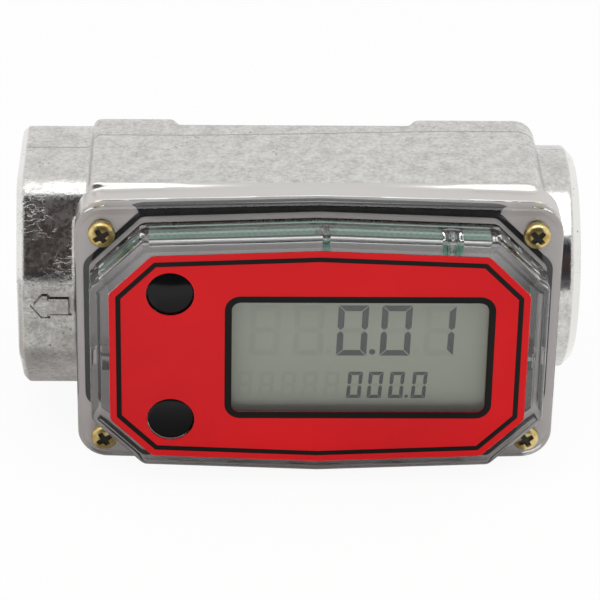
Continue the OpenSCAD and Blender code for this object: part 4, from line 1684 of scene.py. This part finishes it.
@dataclass
class Studio:
    """Camera at the photograph's viewing angle, pale floor, white surroundings and soft light."""

    camera_at: Spot = (0.0370, -0.5226, 0.2707)
    right: Spot = (0.99955, -0.02481, 0.01696)
    up: Spot = (-0.00319, 0.47350, 0.88081)
    lens: float = 178.29
    floor_z: float = LAYOUT.block_low * MM
    floor_reach: float = 4.0
    floor_white: float = 0.92
    fill: float = 0.58
    card_x: float = 0.054
    card_near: float = 0.17
    card_far: float = 0.95

    def build(self) -> None:
        """Sets the view, the camera, the floor, the world and the lamps."""
        bpy.context.scene.view_settings.view_transform = "Standard"
        self.camera()
        self.floor()
        self.surroundings()
        self.lamp("overhead_softbox", (0.05, -0.27, 0.75), (0.05, -0.27, 0.0), (1.1, 0.60), 2.9)
        self.lamp("front_softbox", (0.05, -0.9, 0.75), (0.055, 0.0, 0.0), (0.7, 0.7), 1.3, glossy=False)
        self.dark_card()
        self.shaded_floor()

    def camera(self) -> None:
        """Places the camera by its axes."""
        right = Vector(self.right).normalized()
        up = (Vector(self.up) - right * right.dot(Vector(self.up))).normalized()
        back = right.cross(up)
        data = bpy.data.cameras.new("camera")
        data.lens, data.sensor_width = self.lens, 36.0
        data.clip_start, data.clip_end = 0.01, 20.0
        camera = put("camera", data)
        matrix = Matrix((right, up, back)).transposed().to_4x4()
        matrix.translation = Vector(self.camera_at)
        camera.matrix_world = matrix
        bpy.context.scene.camera = camera

    def floor(self) -> None:
        """A plain pale floor that keeps the object's shadow."""
        far, z = self.floor_reach, self.floor_z
        paint = Paint(bpy.data.materials.new("pale_floor"))
        matt, white = paint.add("BsdfDiffuse", "#fdfdfd"), paint.add("Emission", grey(1.0), 1.0)
        share = paint.chain("MULTIPLY", paint.seen, self.floor_white)
        both = paint.add("MixShader", share, matt, white)
        corners = [(-far, -far, z), (far, -far, z), (far, far, z), (-far, far, z)]
        self.sheet("floor", corners, [(0, 1, 2, 3)], paint.end(both))

    def sheet(
        self,
        name: str,
        vertices: Sequence[Spot],
        faces: Sequence[Sequence[int]],
        material: bpy.types.Material,
    ) -> bpy.types.Object:
        """A thin surface round the object.

        Args:
            name: its name.
            vertices: its corners in metres.
            faces: indices of each face's corners.
            material: its material.

        Returns:
            The object.
        """
        mesh = bpy.data.meshes.new(name)
        mesh.from_pydata(vertices, [], faces)
        mesh.materials.append(material)
        return put(name, mesh)

    def surroundings(self) -> None:
        """White surroundings to look at, and an even fill light."""
        world = bpy.data.worlds.new("studio")
        bpy.context.scene.world = world
        paint = Paint(world)
        shown, light = (paint.add("Background", grey(1.0), strength) for strength in (1.0, self.fill))
        paint.end(paint.add("MixShader", paint.seen, light, shown), "OutputWorld")

    def dark_card(self) -> None:
        """A dark card bent over the front, from the floor to overhead, which only metal and gloss show."""
        steps = 40
        low, high = math.radians(-10.5), math.radians(53.0)

        def edge(angle: float) -> Spot:
            """Distance, height and half width of the card at an angle over the horizon."""
            away = self.card_near + (self.card_far - self.card_near) * (angle - low) / (high - low)
            return away * math.cos(angle), away * math.sin(angle), self.card_x + 0.55 * away

        vertices: list[Spot] = []
        for i in range(steps + 1):
            out, up, half = edge(low + (high - low) * i / steps)
            vertices += [(self.card_x - half, -out, up), (self.card_x + half, -out, up)]
        faces = [(2 * i, 2 * i + 1, 2 * i + 3, 2 * i + 2) for i in range(steps)]
        top = edge(high)[1]
        tones = [(-5, "#58585b"), (8, "#34373d"), (17, "#4c3f3d")]
        tones += [(29, "#4e4240"), (36, "#1d2028"), (50, "#1b1f29")]
        stops = [(max(0.0, edge(math.radians(angle))[1] / top), tone) for angle, tone in tones]
        self.card("dark_card", vertices, faces, "Z", (0.0, top), stops)

    def shaded_floor(self) -> None:
        """The floor close to the meter, which its metal and clear plastic show in shade."""
        far, near, z = -0.11, 0.0, self.floor_z + 0.0003
        hub = [(0.0, "#f6f6f6"), (0.3, "#f0efed"), (0.5, "#dedcda"), (0.75, "#b6b3b1")]
        cover = [(0.0, "#f6f6f6"), (0.35, "#cac8c7"), (0.6, "#878484"), (0.8, "#7a7777")]
        shades = (("hub_shade", -0.12, 0.0125, hub), ("cover_shade", 0.0125, 0.098, cover))
        for name, left, right, tones in shades:
            corners = [(left, far, z), (right, far, z), (right, near, z), (left, near, z)]
            self.card(name, corners, [(0, 1, 2, 3)], "Y", (far, near), tones)

    def card(
        self,
        name: str,
        vertices: Sequence[Spot],
        faces: Sequence[Sequence[int]],
        axis: str,
        span: Point,
        stops: Sequence[tuple[float, str]],
    ) -> None:
        """A card that only reflections and clear plastic show.

        Args:
            name: the card's name.
            vertices: its corners in metres.
            faces: indices of each face's corners.
            axis: the axis that its tones follow.
            span: where the tones begin and end along that axis.
            stops: shares of the span with a hex colour.
        """
        paint = Paint(bpy.data.materials.new(name))
        tone = paint.add("ValToRGB", paint.add("MapRange", paint.axes[axis], *span), stops=stops)
        dim = paint.add("Emission", tone, 1.0)
        card = self.sheet(name, vertices, faces, paint.end(dim))
        card.visible_camera = False
        card.visible_diffuse = False
        card.visible_shadow = False

    def lamp(self, name: str, at: Spot, target: Spot, size: Point, power: float, glossy: bool = True) -> None:
        """A soft lamp.

        Args:
            name: its name.
            at: where it hangs.
            target: where it points.
            size: its width and depth.
            power: its power in watts.
            glossy: whether reflections show it.
        """
        data = bpy.data.lights.new(name, "AREA")
        data.shape, data.size, data.size_y, data.energy = "RECTANGLE", *size, power
        lamp = put(name, data)
        direction = Vector(target) - Vector(at)
        lamp.location = at
        lamp.rotation_mode = "QUATERNION"
        lamp.rotation_quaternion = direction.to_track_quat("-Z", "Y")
        lamp.visible_glossy = glossy
        lamp.visible_camera = False


def main() -> None:
    """Builds the studio and each sub-assembly in order."""
    logging.basicConfig(level=logging.INFO, format="%(name)s: %(message)s")
    for part in (Studio(), InnerWorks(), Casting(), Cover(), Label(), Buttons(), Display(), CoverScrews()):
        part.build()


if __name__ == "__main__":
    main()
